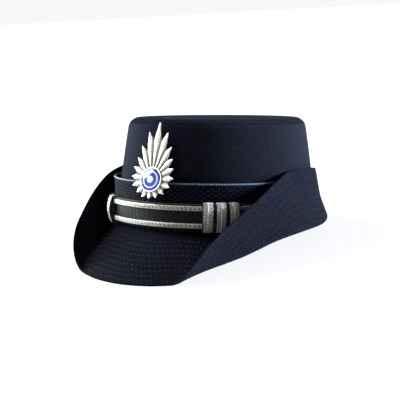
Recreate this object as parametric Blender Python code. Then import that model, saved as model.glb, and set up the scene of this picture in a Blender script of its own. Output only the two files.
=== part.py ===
"""Police service cap with a flat crown and a brim turned up at the sides and back.

Lengths are metres. Front is -Y, the wearer's left is +X, up is +Z. Each piece is
drawn round the head's oval: an angle counted from the front, an offset outward
from the hatband's outer face, and a height above the crown's base plane.
"""
from collections import namedtuple
from math import acos, atan, atan2, cos, degrees, hypot, pi, radians, sin, sqrt

import bmesh
import bpy
from mathutils import Matrix, Vector

NAME = "police_cap"

# Columns round the oval: up to each angle from the front, one every so many degrees
ColumnStep = namedtuple("ColumnStep", "until every")
COLUMN_STEPS = (ColumnStep(15, 5.0), ColumnStep(45, 2.5), ColumnStep(90, 5.0), ColumnStep(180, 7.5))

# Clearance between pieces that touch on the real cap
CLEARANCE = 0.0003

# Head oval, at the hatband's outer face
BAND_HALF_LENGTH = 0.1010
BAND_HALF_WIDTH = 0.0838

# Crown
CROWN_HEIGHT = 0.1046
CROWN_TAPER = 0.0118
CROWN_BELLY = 0.0006
CROWN_CORNER_RADIUS = 0.0098
CROWN_WALL = 0.0020
TIP_SEAM_DROP = 0.0016

# Ring of trims: the strap's lower edge at the front, and how far it dips at the sides
RING_HEIGHT = 0.0204
RING_DIP = 0.0012
SEAM_BELOW_STRAP = 0.0026

# Hatband and its piping
BAND_THICKNESS = 0.0010
BAND_TOP = 0.0540
PIPING_RADIUS = 0.0010

# Strap, its two braids and the slides round it
STRAP_WIDTH = 0.0203
STRAP_THICKNESS = 0.0015
BRAID_WIDTH = 0.0038
BRAID_THICKNESS = 0.0011
BRAID_MARGIN = 0.0015
BRAID_END_ANGLE = 75.0
SLIDE_WIDTH = 0.0073
SLIDE_PITCH = 0.00965
SLIDE_WALL = 0.0013
SLIDE_BACK_WALL = 0.0009
SLIDE_BOW = 0.0030
RANK_LOOPS = 3
RANK_LOOPS_ANGLE = 36.0
SLIDER_ANGLE = -34.0

# The trims stand upright in front and lie against the tapered crown past these angles
UPRIGHT_TO_ANGLE = 50.0
HUG_FROM_ANGLE = 82.0

# Brim
BRIM_WIDTH = 0.0575
BRIM_THICKNESS = 0.0020
BRIM_FOLD_RADIUS = 0.0034
BRIM_CLEARANCE = 0.0004
BRIM_PART_ROWS = 5

# Sections of the brim at angles from the front, the same on both sides. Reach and drop
# place the fold's outer face outside and below the crown's seam, and width is the way
# from the seam over the fold to the free edge, as shares of the brim's width. Lean is
# the turned-up flap's slope outward from upright, in degrees.
BrimSection = namedtuple("BrimSection", "angle reach drop width lean")
BRIM_SECTIONS = (
    BrimSection(0, 0.808, 0.550, 0.942, 120),
    BrimSection(10, 0.794, 0.541, 0.934, 115),
    BrimSection(15, 0.774, 0.530, 0.928, 100),
    BrimSection(20, 0.754, 0.514, 0.936, 62),
    BrimSection(23, 0.710, 0.471, 0.950, 50),
    BrimSection(26, 0.630, 0.430, 0.975, 41),
    BrimSection(31, 0.504, 0.376, 1.014, 27),
    BrimSection(38, 0.374, 0.324, 1.026, 15),
    BrimSection(46, 0.278, 0.266, 1.034, 8),
    BrimSection(54, 0.214, 0.198, 1.030, 3),
    BrimSection(61, 0.188, 0.132, 1.026, -2),
    BrimSection(70, 0.176, 0.070, 1.032, -9),
    BrimSection(80, 0.168, 0.028, 1.040, -15),
    BrimSection(90, 0.165, 0.008, 1.044, -18),
    BrimSection(110, 0.168, 0.016, 1.020, -20),
    BrimSection(130, 0.172, 0.040, 0.998, -20),
    BrimSection(155, 0.174, 0.060, 0.985, -20),
    BrimSection(180, 0.174, 0.066, 0.985, -20),
)

# Badge: a drop-shaped sunburst round a domed enamel
BADGE_HEIGHT = 0.0610
BADGE_CENTRE_HEIGHT = 0.0575
BADGE_EDGE_THICKNESS = 0.0009
BADGE_RIDGE_HEIGHT = 0.0016
BADGE_VALLEY = 0.80
ENAMEL_RADIUS = 0.0082
ENAMEL_DOME = 0.0012
COLLAR_WIDTH = 0.0016
COLLAR_HEIGHT = 0.0027
SEAT_DEPTH = 0.0012

# Rays of the badge: angle from the top, and length from the enamel's centre as a share
# of the badge's height. Those between top and bottom are mirrored.
BadgeRay = namedtuple("BadgeRay", "angle length")
BADGE_RAYS = (
    BadgeRay(0, 0.755),
    BadgeRay(13, 0.640),
    BadgeRay(27, 0.490),
    BadgeRay(43, 0.385),
    BadgeRay(62, 0.335),
    BadgeRay(84, 0.315),
    BadgeRay(107, 0.290),
    BadgeRay(131, 0.265),
    BadgeRay(156, 0.250),
    BadgeRay(180, 0.245),
)

# Surface colours, roughness and metallic values
Finish = namedtuple("Finish", "color roughness metallic")
NAVY_CLOTH = Finish((0.012, 0.016, 0.032), 0.90, 0.0)
NAVY_RIB = Finish((0.010, 0.013, 0.030), 0.85, 0.0)
PALE_BLUE = Finish((0.38, 0.62, 0.80), 0.75, 0.0)
BLACK_STRAP = Finish((0.014, 0.017, 0.017), 0.70, 0.0)
SILVER_THREAD = Finish((0.70, 0.70, 0.68), 0.45, 0.8)
SILVER = Finish((0.80, 0.80, 0.79), 0.25, 1.0)
BLUE_ENAMEL = Finish((0.02, 0.05, 0.45), 0.12, 0.0)


def smooth_step(value, low, high):
    share = min(max((value - low) / (high - low), 0.0), 1.0)
    return share * share * (3.0 - 2.0 * share)


def straight(xs, ys, x):
    """Straight-line reading of a rising table, level past its ends."""
    if x <= xs[0]:
        return ys[0]
    for left, right, low, high in zip(xs, xs[1:], ys, ys[1:]):
        if x <= right:
            return low + (high - low) * (x - left) / (right - left)
    return ys[-1]


def smooth_max(first, second, blend):
    return 0.5 * (first + second + sqrt((first - second) ** 2 + blend ** 2))


def from_front(angle):
    """Angle from the front in degrees, 0 to 180, the same on both sides."""
    return degrees(acos(min(max(cos(angle), -1.0), 1.0)))


def oval_point(angle, offset, height):
    x = (BAND_HALF_WIDTH + offset) * sin(angle)
    y = -(BAND_HALF_LENGTH + offset) * cos(angle)
    return Vector((x, y, height))


def strap_bottom(angle):
    return RING_HEIGHT - RING_DIP * sin(angle) ** 2


def strap_top(angle):
    return strap_bottom(angle) + STRAP_WIDTH


def seam_height(angle):
    return strap_bottom(angle) - SEAM_BELOW_STRAP


def band_top(angle):
    return BAND_TOP - RING_DIP * sin(angle) ** 2


def crown_base_offset():
    return -(BAND_THICKNESS + CLEARANCE)


def crown_offset(angle, height):
    """Offset of the crown's outer face, before its top corner is rounded."""
    seam = seam_height(angle)
    share = (height - seam) / (CROWN_HEIGHT - seam)
    return crown_base_offset() - CROWN_TAPER * share + CROWN_BELLY * sin(pi * share)


def hug(angle):
    return smooth_step(from_front(angle), UPRIGHT_TO_ANGLE, HUG_FROM_ANGLE)


def wrap(angle, height, layer):
    """Offset of a trim's face: upright in front, along the crown at the sides and back."""
    lean = crown_offset(angle, height) - crown_offset(angle, seam_height(angle))
    return layer + hug(angle) * lean


def strap_back(angle):
    """The strap stands off the band where the slides pass behind it, and lies on it elsewhere."""
    stand = 2.0 * CLEARANCE + SLIDE_BACK_WALL
    return stand + (CLEARANCE - stand) * hug(angle)


def braid_back(angle):
    return strap_back(angle) + STRAP_THICKNESS + CLEARANCE


def strap_trim_face(angle):
    """Face of the strap, or of the braids as far round as they reach."""
    strap_face = strap_back(angle) + STRAP_THICKNESS
    past_braids = smooth_step(from_front(angle), BRAID_END_ANGLE, BRAID_END_ANGLE + 15.0)
    return strap_face + (CLEARANCE + BRAID_THICKNESS) * (1.0 - past_braids)


def crown_slope(angle):
    """The wall's slope inward from upright where it meets the top corner."""
    rise = CROWN_HEIGHT - seam_height(angle)
    return atan((CROWN_TAPER + pi * CROWN_BELLY) / rise)


def corner_point(angle, elevation):
    """Point of the crown's rounded corner, by the elevation of its outward normal."""
    slope = crown_slope(angle)
    setback = CROWN_CORNER_RADIUS * cos(slope) / (1.0 + sin(slope))
    offset = crown_base_offset() - CROWN_TAPER - setback + CROWN_CORNER_RADIUS * cos(elevation)
    return offset, CROWN_HEIGHT - CROWN_CORNER_RADIUS * (1.0 - sin(elevation))


def tip_seam_elevation(side):
    """Elevation at which the tip or the wall ends: side is +1 for the tip, -1 for the wall."""
    share = (CROWN_CORNER_RADIUS - TIP_SEAM_DROP) / CROWN_CORNER_RADIUS
    return atan2(share, sqrt(1.0 - share ** 2)) + side * 0.5 * CLEARANCE / CROWN_CORNER_RADIUS


def crown_wall_section(angle, rows=2, arc_rows=3):
    seam = seam_height(angle)
    slope = crown_slope(angle)
    straight_top = corner_point(angle, slope)[1]
    faces = []
    for row in range(rows):
        height = seam + (straight_top - seam) * row / rows
        faces.append((crown_offset(angle, height), height, 0.0))
    end = tip_seam_elevation(-1)
    for row in range(arc_rows + 1):
        elevation = slope + (end - slope) * row / arc_rows
        offset, height = corner_point(angle, elevation)
        faces.append((offset, height, elevation))
    outside = [(offset, height) for offset, height, _ in faces]
    inside = [
        (offset - CROWN_WALL * cos(elevation), height - CROWN_WALL * sin(elevation))
        for offset, height, elevation in faces
    ]
    return outside + inside[::-1]


def crown_tip_section(angle, arc_rows=2):
    start = tip_seam_elevation(1)
    outside = []
    inside = []
    for row in range(arc_rows + 1):
        elevation = start + (0.5 * pi - start) * row / arc_rows
        offset, height = corner_point(angle, elevation)
        outside.append((offset, height))
        inside.append((offset - CROWN_WALL * cos(elevation), height - CROWN_WALL * sin(elevation)))
    return inside[::-1] + outside


def hatband_section(angle):
    bottom = seam_height(angle) + CLEARANCE
    top = band_top(angle)
    corners = ((-BAND_THICKNESS, bottom), (0.0, bottom), (0.0, top), (-BAND_THICKNESS, top))
    return [(wrap(angle, height, layer), height) for layer, height in corners]


def piping_layer(angle):
    """The piping is centred on the band's edge in front, and lies on the crown elsewhere."""
    on_edge = -0.5 * BAND_THICKNESS
    on_crown = crown_base_offset() + CLEARANCE + PIPING_RADIUS
    return on_edge + (on_crown - on_edge) * hug(angle)


def piping_centre(angle):
    height = band_top(angle) + CLEARANCE + PIPING_RADIUS
    return oval_point(angle, wrap(angle, height, piping_layer(angle)), height)


def strap_section(angle):
    back = strap_back(angle)
    face = back + STRAP_THICKNESS
    bottom = strap_bottom(angle)
    top = strap_top(angle)
    corners = ((back, bottom), (face, bottom), (face, top), (back, top))
    return [(wrap(angle, height, layer), height) for layer, height in corners]


def braid_section(bottom_above_strap):
    """Section of a braid with softened edges, its lower edge this far above the strap's."""
    def section(angle):
        back = braid_back(angle)
        bottom = strap_bottom(angle) + bottom_above_strap
        soft = 0.5 * BRAID_THICKNESS
        corners = (
            (back, bottom),
            (back + BRAID_THICKNESS, bottom + soft),
            (back + BRAID_THICKNESS, bottom + BRAID_WIDTH - soft),
            (back, bottom + BRAID_WIDTH),
        )
        return [(wrap(angle, height, layer), height) for layer, height in corners]
    return section


def trim_face(angle, height):
    """Outermost face of the crown and its trims at this height, where the flap lies over them."""
    piping_top = band_top(angle) + CLEARANCE + 2.0 * PIPING_RADIUS
    strap_edge = strap_top(angle)
    step = 0.5 * (piping_top - strap_edge)
    heights = (strap_edge, strap_edge + step, piping_top, piping_top + 2.0 * step)
    piping_face = piping_layer(angle) + PIPING_RADIUS
    layers = (strap_trim_face(angle), piping_face, piping_face, crown_base_offset())
    return wrap(angle, height, straight(heights, layers, height))


def brim_section_values(angle):
    """Reach, drop, width and lean at this angle, by a smooth curve through the table's rows."""
    position = from_front(angle)
    rows = BRIM_SECTIONS
    index = 0
    while index < len(rows) - 2 and position > rows[index + 1].angle:
        index += 1
    start, end = rows[index], rows[index + 1]
    before = rows[index - 1] if index > 0 else rows[1]._replace(angle=-rows[1].angle)
    last = rows[-2]._replace(angle=360 - rows[-2].angle)
    after = rows[index + 2] if index + 2 < len(rows) else last
    span = end.angle - start.angle
    share = (position - start.angle) / span
    values = []
    for column in ("reach", "drop", "width", "lean"):
        low, high = getattr(start, column), getattr(end, column)
        slope_in = (high - getattr(before, column)) / (end.angle - before.angle)
        slope_out = (getattr(after, column) - low) / (after.angle - start.angle)
        curve = (
            (2 * share ** 3 - 3 * share ** 2 + 1) * low
            + (share ** 3 - 2 * share ** 2 + share) * span * slope_in
            + (3 * share ** 2 - 2 * share ** 3) * high
            + (share ** 3 - share ** 2) * span * slope_out
        )
        values.append(curve)
    reach, drop, width, lean = values
    return reach * BRIM_WIDTH, drop * BRIM_WIDTH, width * BRIM_WIDTH, radians(lean)


def heading(angle):
    return Vector((cos(angle), sin(angle)))


def brim_path(angle, arc_points=8):
    """Middle line of the brim from the crown's seam over the fold to the free edge."""
    reach, drop, width, lean = brim_section_values(angle)
    start = Vector((crown_base_offset(), seam_height(angle) - CLEARANCE - 0.5 * BRIM_THICKNESS))
    fold = start + Vector((reach, -drop))
    flap = max(width - hypot(reach, drop), CLEARANCE)
    rise = 0.5 * pi - lean
    end = fold + heading(rise) * flap
    slope = atan2(-drop, reach)
    half_turn = 0.5 * (rise - slope)
    radius = min(BRIM_FOLD_RADIUS, 0.8 * flap * cos(half_turn) / max(sin(half_turn), CLEARANCE))
    folded = smooth_step(flap, 0.0, 4.0 * BRIM_THICKNESS)
    beyond = radius * (1.0 / cos(half_turn) - 1.0) - 0.5 * BRIM_THICKNESS * folded
    corner = fold + heading(slope + half_turn - 0.5 * pi) * beyond
    outward_leg = corner - start
    upward_leg = end - corner
    slope = atan2(outward_leg.y, outward_leg.x)
    turn = atan2(upward_leg.y, upward_leg.x) - slope
    setback = min(radius * sin(0.5 * turn) / cos(0.5 * turn), 0.95 * upward_leg.length)
    radius = setback * cos(0.5 * turn) / sin(0.5 * turn)
    centre = corner - heading(slope) * setback + heading(slope + 0.5 * pi) * radius
    points = [start]
    for step in range(arc_points + 1):
        points.append(centre + heading(slope + turn * step / arc_points - 0.5 * pi) * radius)
    points.append(end)
    return points


def brim_rows(angle):
    """Points across the brim's middle line: as many before the fold as round it and after it."""
    points = brim_path(angle)
    lengths = [0.0]
    for first, second in zip(points, points[1:]):
        lengths.append(lengths[-1] + (second - first).length)
    total = lengths[-1]
    least = BRIM_THICKNESS
    before_fold = min(lengths[1], total - 2.0 * least)
    after_fold = min(max(lengths[-2], before_fold + least), total - least)
    marks = (0.0, before_fold, after_fold, total)
    rows = []
    for row in range(3 * BRIM_PART_ROWS + 1):
        length = straight((0, BRIM_PART_ROWS, 2 * BRIM_PART_ROWS, 3 * BRIM_PART_ROWS), marks, row)
        offset = straight(lengths, [point.x for point in points], length)
        height = straight(lengths, [point.y for point in points], length)
        lifted = smooth_step(length, after_fold - BRIM_FOLD_RADIUS, after_fold + BRIM_FOLD_RADIUS)
        closest = trim_face(angle, height) + BRIM_CLEARANCE + 0.5 * BRIM_THICKNESS
        pushed = smooth_max(offset, closest, BRIM_CLEARANCE)
        rows.append(Vector((offset + (pushed - offset) * lifted, height)))
    return rows


def brim_section(angle):
    rows = brim_rows(angle)
    half = 0.5 * BRIM_THICKNESS
    upper = []
    under = []
    for index, point in enumerate(rows):
        before = rows[max(index - 1, 0)]
        after = rows[min(index + 1, len(rows) - 1)]
        along = (after - before).normalized()
        across = Vector((-along.y, along.x))
        if index == 0:
            across = Vector((0.0, 1.0))
        upper.append(point + across * half)
        under.append(point - across * half)
    end_along = (rows[-1] - rows[-2]).normalized()
    rounded_end = rows[-1] + end_along * half
    inner_rim = crown_base_offset() - CROWN_WALL
    seam = rows[0]
    rim = [Vector((inner_rim, seam.y + half)), Vector((inner_rim, seam.y - half))]
    outline = under + [rounded_end] + upper[::-1] + rim
    return [(point.x, point.y) for point in outline]


def slide_outlines():
    """Inside and outside of a slide round the strap, as (offset, height above the strap) pairs."""
    back = CLEARANCE + SLIDE_BACK_WALL
    face = back + STRAP_THICKNESS + BRAID_THICKNESS + 3.0 * CLEARANCE
    low = -CLEARANCE
    high = STRAP_WIDTH + CLEARANCE
    steps = 6
    inside = [(back, low)]
    outside = [(CLEARANCE, low - SLIDE_WALL)]
    for step in range(steps + 1):
        share = step / steps
        bow = SLIDE_BOW * sin(pi * share) ** 0.8
        inside.append((face, low + (high - low) * share))
        height = low - SLIDE_WALL + (high - low + 2.0 * SLIDE_WALL) * share
        outside.append((face + SLIDE_WALL + bow, height))
    inside.append((back, high))
    outside.append((CLEARANCE, high + SLIDE_WALL))
    return inside, outside


def outward(angle):
    """Outward normal of the head oval, level."""
    return Vector((sin(angle) / BAND_HALF_WIDTH, -cos(angle) / BAND_HALF_LENGTH, 0.0)).normalized()


def place_on_oval(angle, height):
    """Frame on the band's face: x along the oval, y into the cap, z up."""
    normal = outward(angle)
    tangent = Vector((-normal.y, normal.x, 0.0))
    frame = Matrix((tangent, -normal, Vector((0.0, 0.0, 1.0)))).transposed().to_4x4()
    frame.translation = oval_point(angle, 0.0, height)
    return frame


def badge_frame():
    """Frame of the badge: x across, y into the cap, z up its face, at the enamel's centre.

    The badge rests on the piping and leans back until its tip meets the crown.
    """
    front = 0.0
    piping_height = band_top(front) + CLEARANCE + PIPING_RADIUS
    piping_front = piping_layer(front) + PIPING_RADIUS + CLEARANCE
    length = BADGE_RAYS[0].length * BADGE_HEIGHT
    tip_height = BADGE_CENTRE_HEIGHT + length * cos(crown_slope(front))
    tip_front = crown_offset(front, tip_height) + CLEARANCE
    lean = atan((piping_front - tip_front) / (tip_height - piping_height))
    rise = BADGE_CENTRE_HEIGHT - piping_height
    centre_offset = piping_front - rise * sin(lean) / cos(lean)
    frame = Matrix.Rotation(-lean, 4, "X")
    frame.translation = oval_point(front, centre_offset + CLEARANCE, BADGE_CENTRE_HEIGHT)
    return frame


def badge_outline():
    """Ray tips and the valleys between them, clockwise from the top, as (angle, length) pairs."""
    half = [(radians(ray.angle), ray.length * BADGE_HEIGHT) for ray in BADGE_RAYS]
    mirrored = [(2.0 * pi - angle, length) for angle, length in half[-2:0:-1]]
    tips = half + mirrored
    outline = []
    for (angle, length), (next_angle, next_length) in zip(tips, tips[1:] + [(2.0 * pi, half[0][1])]):
        outline.append((angle, length))
        outline.append((0.5 * (angle + next_angle), BADGE_VALLEY * min(length, next_length)))
    return outline


def collection(name):
    made = bpy.data.collections.new(name)
    bpy.context.scene.collection.children.link(made)
    return made


def finish_material(name, finish):
    material = bpy.data.materials.new(name)
    material.use_nodes = True
    shader = material.node_tree.nodes["Principled BSDF"]
    shader.inputs["Base Color"].default_value = (*finish.color, 1.0)
    shader.inputs["Roughness"].default_value = finish.roughness
    shader.inputs["Metallic"].default_value = finish.metallic
    return material


def add_object(name, data, finish, parts, root, frame=None):
    piece = bpy.data.objects.new(name, data)
    data.materials.append(finish_material(name, finish))
    parts.objects.link(piece)
    piece.parent = root
    if frame is not None:
        piece.matrix_local = frame
    return piece


def mesh_from(name, body, smooth_angle=35.0):
    bmesh.ops.recalc_face_normals(body, faces=body.faces)
    mesh = bpy.data.meshes.new(name)
    body.to_mesh(mesh)
    body.free()
    mesh.shade_smooth()
    mesh.set_sharp_from_angle(angle=radians(smooth_angle))
    return mesh


def bridge(body, rings, closed_rings=True):
    """Faces between each ring of vertices and the next."""
    for first, second in zip(rings, rings[1:]):
        count = len(first)
        for index in range(count if closed_rings else count - 1):
            after = (index + 1) % count
            body.faces.new((first[index], first[after], second[after], second[index]))


def column_angles(reach=180.0):
    """Angles of the columns, the same on both sides, as far from the front as the reach."""
    half = [0.0]
    for step in COLUMN_STEPS:
        while half[-1] < min(step.until, reach):
            half.append(half[-1] + step.every)
    return [radians(angle) for angle in [-angle for angle in half[:0:-1]] + half]


def oval_loft(name, section, reach=180.0):
    """Solid round the head oval through a closed section at each column: a whole ring, or a
    stretch across the front with flat ends."""
    body = bmesh.new()
    rings = []
    for angle in column_angles(reach):
        rings.append([body.verts.new(oval_point(angle, *corner)) for corner in section(angle)])
    if reach < 180.0:
        bridge(body, rings)
        body.faces.new(rings[0])
        body.faces.new(rings[-1])
    else:
        bridge(body, rings[1:] + rings[1:2])
    return mesh_from(name, body)


def oval_plate(name, section):
    """Plate over the head oval, from the section's first point under it to its last on top."""
    body = bmesh.new()
    columns = [(angle, section(angle)) for angle in column_angles()[1:]]
    rings = []
    for row in range(len(columns[0][1])):
        rings.append([body.verts.new(oval_point(angle, *corners[row])) for angle, corners in columns])
    bridge(body, rings)
    body.faces.new(rings[0])
    body.faces.new(rings[-1])
    return mesh_from(name, body)


def make_crown(parts, root):
    add_object("crown_wall", oval_loft("crown_wall", crown_wall_section), NAVY_CLOTH, parts, root)
    add_object("crown_tip", oval_plate("crown_tip", crown_tip_section), NAVY_CLOTH, parts, root)


def make_brim(parts, root):
    add_object("brim", oval_loft("brim", brim_section), NAVY_CLOTH, parts, root)


def make_piping(parts, root):
    """Round cord along the band's top edge."""
    curve = bpy.data.curves.new("band_piping", "CURVE")
    curve.dimensions = "3D"
    curve.bevel_depth = PIPING_RADIUS
    curve.bevel_resolution = 1
    route = curve.splines.new("POLY")
    angles = column_angles()[1:]
    route.points.add(len(angles) - 1)
    for point, angle in zip(route.points, angles):
        point.co = (*piping_centre(angle), 1.0)
    route.use_cyclic_u = True
    add_object("band_piping", curve, PALE_BLUE, parts, root)


def make_band_and_strap(parts, root):
    upper = STRAP_WIDTH - BRAID_MARGIN - BRAID_WIDTH
    add_object("hatband", oval_loft("hatband", hatband_section), NAVY_RIB, parts, root)
    make_piping(parts, root)
    add_object("strap", oval_loft("strap", strap_section), BLACK_STRAP, parts, root)
    for name, height in (("strap_braid_upper", upper), ("strap_braid_lower", BRAID_MARGIN)):
        braid = oval_loft(name, braid_section(height), BRAID_END_ANGLE)
        add_object(name, braid, SILVER_THREAD, parts, root)


def slide_mesh():
    body = bmesh.new()
    inside, outside = slide_outlines()
    half = 0.5 * SLIDE_WIDTH
    rings = []
    for (in_offset, in_height), (out_offset, out_height) in zip(inside, outside):
        corners = (
            (-half, -in_offset, in_height),
            (half, -in_offset, in_height),
            (half, -out_offset, out_height),
            (-half, -out_offset, out_height),
        )
        rings.append([body.verts.new(corner) for corner in corners])
    bridge(body, rings + rings[:1])
    return mesh_from("slide", body)


def make_slides(parts, root):
    """One slide on the wearer's right and the rank loops in a row on the left."""
    spots = [("strap_slider", radians(SLIDER_ANGLE))]
    middle = radians(RANK_LOOPS_ANGLE)
    radius = hypot(BAND_HALF_WIDTH * cos(middle), BAND_HALF_LENGTH * sin(middle)) + STRAP_THICKNESS
    for index in range(RANK_LOOPS):
        along = (index - 0.5 * (RANK_LOOPS - 1)) * SLIDE_PITCH
        spots.append((f"rank_loop_{index + 1}", middle + along / radius))
    for name, angle in spots:
        frame = place_on_oval(angle, strap_bottom(angle))
        add_object(name, slide_mesh(), SILVER_THREAD, parts, root, frame)


def make_badge(parts, root):
    """The sunburst with its collar in one solid, and the enamel seated in the collar."""
    frame = badge_frame()
    outline = badge_outline()
    collar_inner = ENAMEL_RADIUS + CLEARANCE
    collar_outer = collar_inner + COLLAR_WIDTH
    seat = COLLAR_HEIGHT - SEAT_DEPTH
    body = bmesh.new()

    def ring(radii, depths):
        points = []
        for (angle, _), radius, depth in zip(outline, radii, depths):
            points.append(body.verts.new((radius * sin(angle), -depth, radius * cos(angle))))
        return points

    count = len(outline)
    lengths = [length for _, length in outline]
    crests = [BADGE_RIDGE_HEIGHT if index % 2 == 0 else BADGE_EDGE_THICKNESS for index in range(count)]
    middle = [0.5 * (collar_outer + length) for length in lengths]
    rings = [
        ring([collar_inner] * count, [0.0] * count),
        ring(lengths, [0.0] * count),
        ring(lengths, [BADGE_EDGE_THICKNESS] * count),
        ring(middle, [0.5 * (crest + BADGE_RIDGE_HEIGHT) for crest in crests]),
        ring([collar_outer] * count, [BADGE_RIDGE_HEIGHT] * count),
        ring([collar_outer] * count, [COLLAR_HEIGHT] * count),
        ring([collar_inner] * count, [COLLAR_HEIGHT] * count),
        ring([collar_inner] * count, [seat] * count),
    ]
    bridge(body, rings)
    body.faces.new(rings[0])
    body.faces.new(rings[-1])
    add_object("badge_metal", mesh_from("badge_metal", body), SILVER, parts, root, frame)
    make_enamel(parts, root, frame, seat + CLEARANCE)


def make_enamel(parts, root, frame, back):
    body = bmesh.new()
    sides = 32
    front = COLLAR_HEIGHT
    profile = ((1.0, back), (1.0, front), (0.8, front + 0.45 * ENAMEL_DOME), (0.45, front + 0.85 * ENAMEL_DOME))
    rings = []
    for share, depth in profile:
        ring = []
        for side in range(sides):
            angle = 2.0 * pi * side / sides
            radius = ENAMEL_RADIUS * share
            ring.append(body.verts.new((radius * sin(angle), -depth, radius * cos(angle))))
        rings.append(ring)
    bridge(body, rings)
    body.faces.new(rings[0])
    body.faces.new(rings[-1])
    add_object("badge_enamel", mesh_from("badge_enamel", body), BLUE_ENAMEL, parts, root, frame)


def world_points(parts):
    bpy.context.view_layer.update()
    graph = bpy.context.evaluated_depsgraph_get()
    points = []
    for piece in parts.objects:
        if piece.type == "EMPTY":
            continue
        evaluated = piece.evaluated_get(graph)
        mesh = evaluated.to_mesh()
        points.extend(piece.matrix_world @ vertex.co for vertex in mesh.vertices)
        evaluated.to_mesh_clear()
    return points


def resting_lean(points):
    """Angle about X that brings the lowest points in front of and behind the middle level."""
    hull = []
    for point in sorted((p.y, p.z) for p in points):
        while len(hull) > 1:
            (y0, z0), (y1, z1) = hull[-2:]
            if (y1 - y0) * (point[1] - z0) - (z1 - z0) * (point[0] - y0) > 0.0:
                break
            hull.pop()
        hull.append(point)
    for (y0, z0), (y1, z1) in zip(hull, hull[1:]):
        if y0 <= 0.0 <= y1:
            return -atan2(z1 - z0, y1 - y0)
    return 0.0


def set_down(parts, root):
    """Lean the cap as it rests on a level surface, its box's bottom centre at the origin."""
    root.rotation_euler.x = resting_lean(world_points(parts))
    points = world_points(parts)
    low = [min(point[axis] for point in points) for axis in range(3)]
    high = [max(point[axis] for point in points) for axis in range(3)]
    root.location = (-0.5 * (low[0] + high[0]), -0.5 * (low[1] + high[1]), -low[2])
    bpy.context.view_layer.update()


def clear_scene():
    for item in list(bpy.data.objects):
        bpy.data.objects.remove(item, do_unlink=True)


def main():
    clear_scene()
    parts = collection(NAME)
    root = bpy.data.objects.new("cap_root", None)
    parts.objects.link(root)
    make_crown(parts, root)
    make_brim(parts, root)
    make_band_and_strap(parts, root)
    make_slides(parts, root)
    make_badge(parts, root)
    set_down(parts, root)


main()
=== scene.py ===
"""Police service cap: finished cloth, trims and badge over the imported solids, in a plain studio.

Lengths are metres. Shapes are worked out in the cap's own frame (front -Y, the wearer's left +X,
crown upright) round the head's oval: an angle from the front, an offset outward from the
hatband's outer face, and a height above the crown's base plane. Then they are set down in the
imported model's frame, where the cap leans back as it rests.
"""
from collections import namedtuple
from math import atan, atan2, cos, hypot, pi, radians, sin, sqrt, tan

import bpy
import numpy as np
from bpy.props import FloatProperty, FloatVectorProperty, PointerProperty
from mathutils import Matrix, Vector


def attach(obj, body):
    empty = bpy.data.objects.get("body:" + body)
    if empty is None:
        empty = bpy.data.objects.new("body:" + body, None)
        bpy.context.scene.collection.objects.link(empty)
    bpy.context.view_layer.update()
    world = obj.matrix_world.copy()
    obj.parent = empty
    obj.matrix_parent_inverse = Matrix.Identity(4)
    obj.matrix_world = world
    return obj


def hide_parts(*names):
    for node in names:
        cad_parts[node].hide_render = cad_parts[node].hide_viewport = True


bl_info = {
    "name": "Police Service Cap",
    "version": (1, 0, 0),
    "blender": (4, 5, 0),
    "location": "3D View > Sidebar > Cap",
    "description": "Builds a police service cap with its cloth, trims and badge, and a studio",
    "category": "Object",
}

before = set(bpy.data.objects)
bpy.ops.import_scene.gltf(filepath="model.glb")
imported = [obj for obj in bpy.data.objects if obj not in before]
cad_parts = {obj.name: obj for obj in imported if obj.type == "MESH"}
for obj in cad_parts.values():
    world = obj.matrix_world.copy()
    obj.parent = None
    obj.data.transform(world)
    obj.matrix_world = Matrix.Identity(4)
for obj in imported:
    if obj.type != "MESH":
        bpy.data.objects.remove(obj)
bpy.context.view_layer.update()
BODY = "root"
UV_NAME = "metres"
WHITE = (1.0, 1.0, 1.0, 1.0)
# A dome's innermost ring of points, as a share of its radius
PIN_HOLE = 0.004

# How the cap rests: its lean about X and where the crown's base plane comes to lie
REST_LEAN = radians(-6.560266)
REST_PLACE = Vector((0.0, 0.018383, -0.000645))
SET_DOWN = Matrix.Translation(REST_PLACE) @ Matrix.Rotation(REST_LEAN, 4, "X")

CLEARANCE = 0.0003

# Head oval, at the hatband's outer face
BAND_HALF_LENGTH = 0.1010
BAND_HALF_WIDTH = 0.0838

# Crown
CROWN_HEIGHT = 0.1046
CROWN_TAPER = 0.0118
CROWN_BELLY = 0.0006
CROWN_CORNER_RADIUS = 0.0098
CROWN_WALL = 0.0020
TIP_SEAM_DROP = 0.0016
TIP_DOME = 0.0012
CROWN_STITCHES_BELOW = 0.0045
CROWN_STITCHES_ABOVE = 0.0015

# Ring of trims
RING_HEIGHT = 0.0204
RING_DIP = 0.0012
SEAM_BELOW_STRAP = 0.0026
BAND_THICKNESS = 0.0010
BAND_TOP = 0.0540
PIPING_RADIUS = 0.0010
STRAP_WIDTH = 0.0203
STRAP_THICKNESS = 0.0015
BRAID_WIDTH = 0.0038
BRAID_THICKNESS = 0.0011
BRAID_MARGIN = 0.0015
BRAID_END_ANGLE = 75.0
SLIDE_WIDTH = 0.0073
SLIDE_PITCH = 0.00965
SLIDE_WALL = 0.0013
SLIDE_BACK_WALL = 0.0009
SLIDE_BOW = 0.0030
RANK_LOOPS = 3
RANK_LOOPS_ANGLE = 36.0
SLIDER_ANGLE = -34.0
# Forms of the slides: sleeve beside the ribbon, as a share of its half, then ridge and slanted
# hatch, each from none (0) to full (1)
SLIDER_FORM = (0.0, 0.0, 1.0)
# The rank loops' black sleeve widens the dark gaps between the loops: painted shade
RANK_LOOP_FORM = (0.26, 1.0, 0.0)
PIPING_TWIST = 0.0057
PIPING_STRANDS = 3
UPRIGHT_TO_ANGLE = 50.0
HUG_FROM_ANGLE = 82.0
CROWN_BASE = -(BAND_THICKNESS + CLEARANCE)

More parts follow.
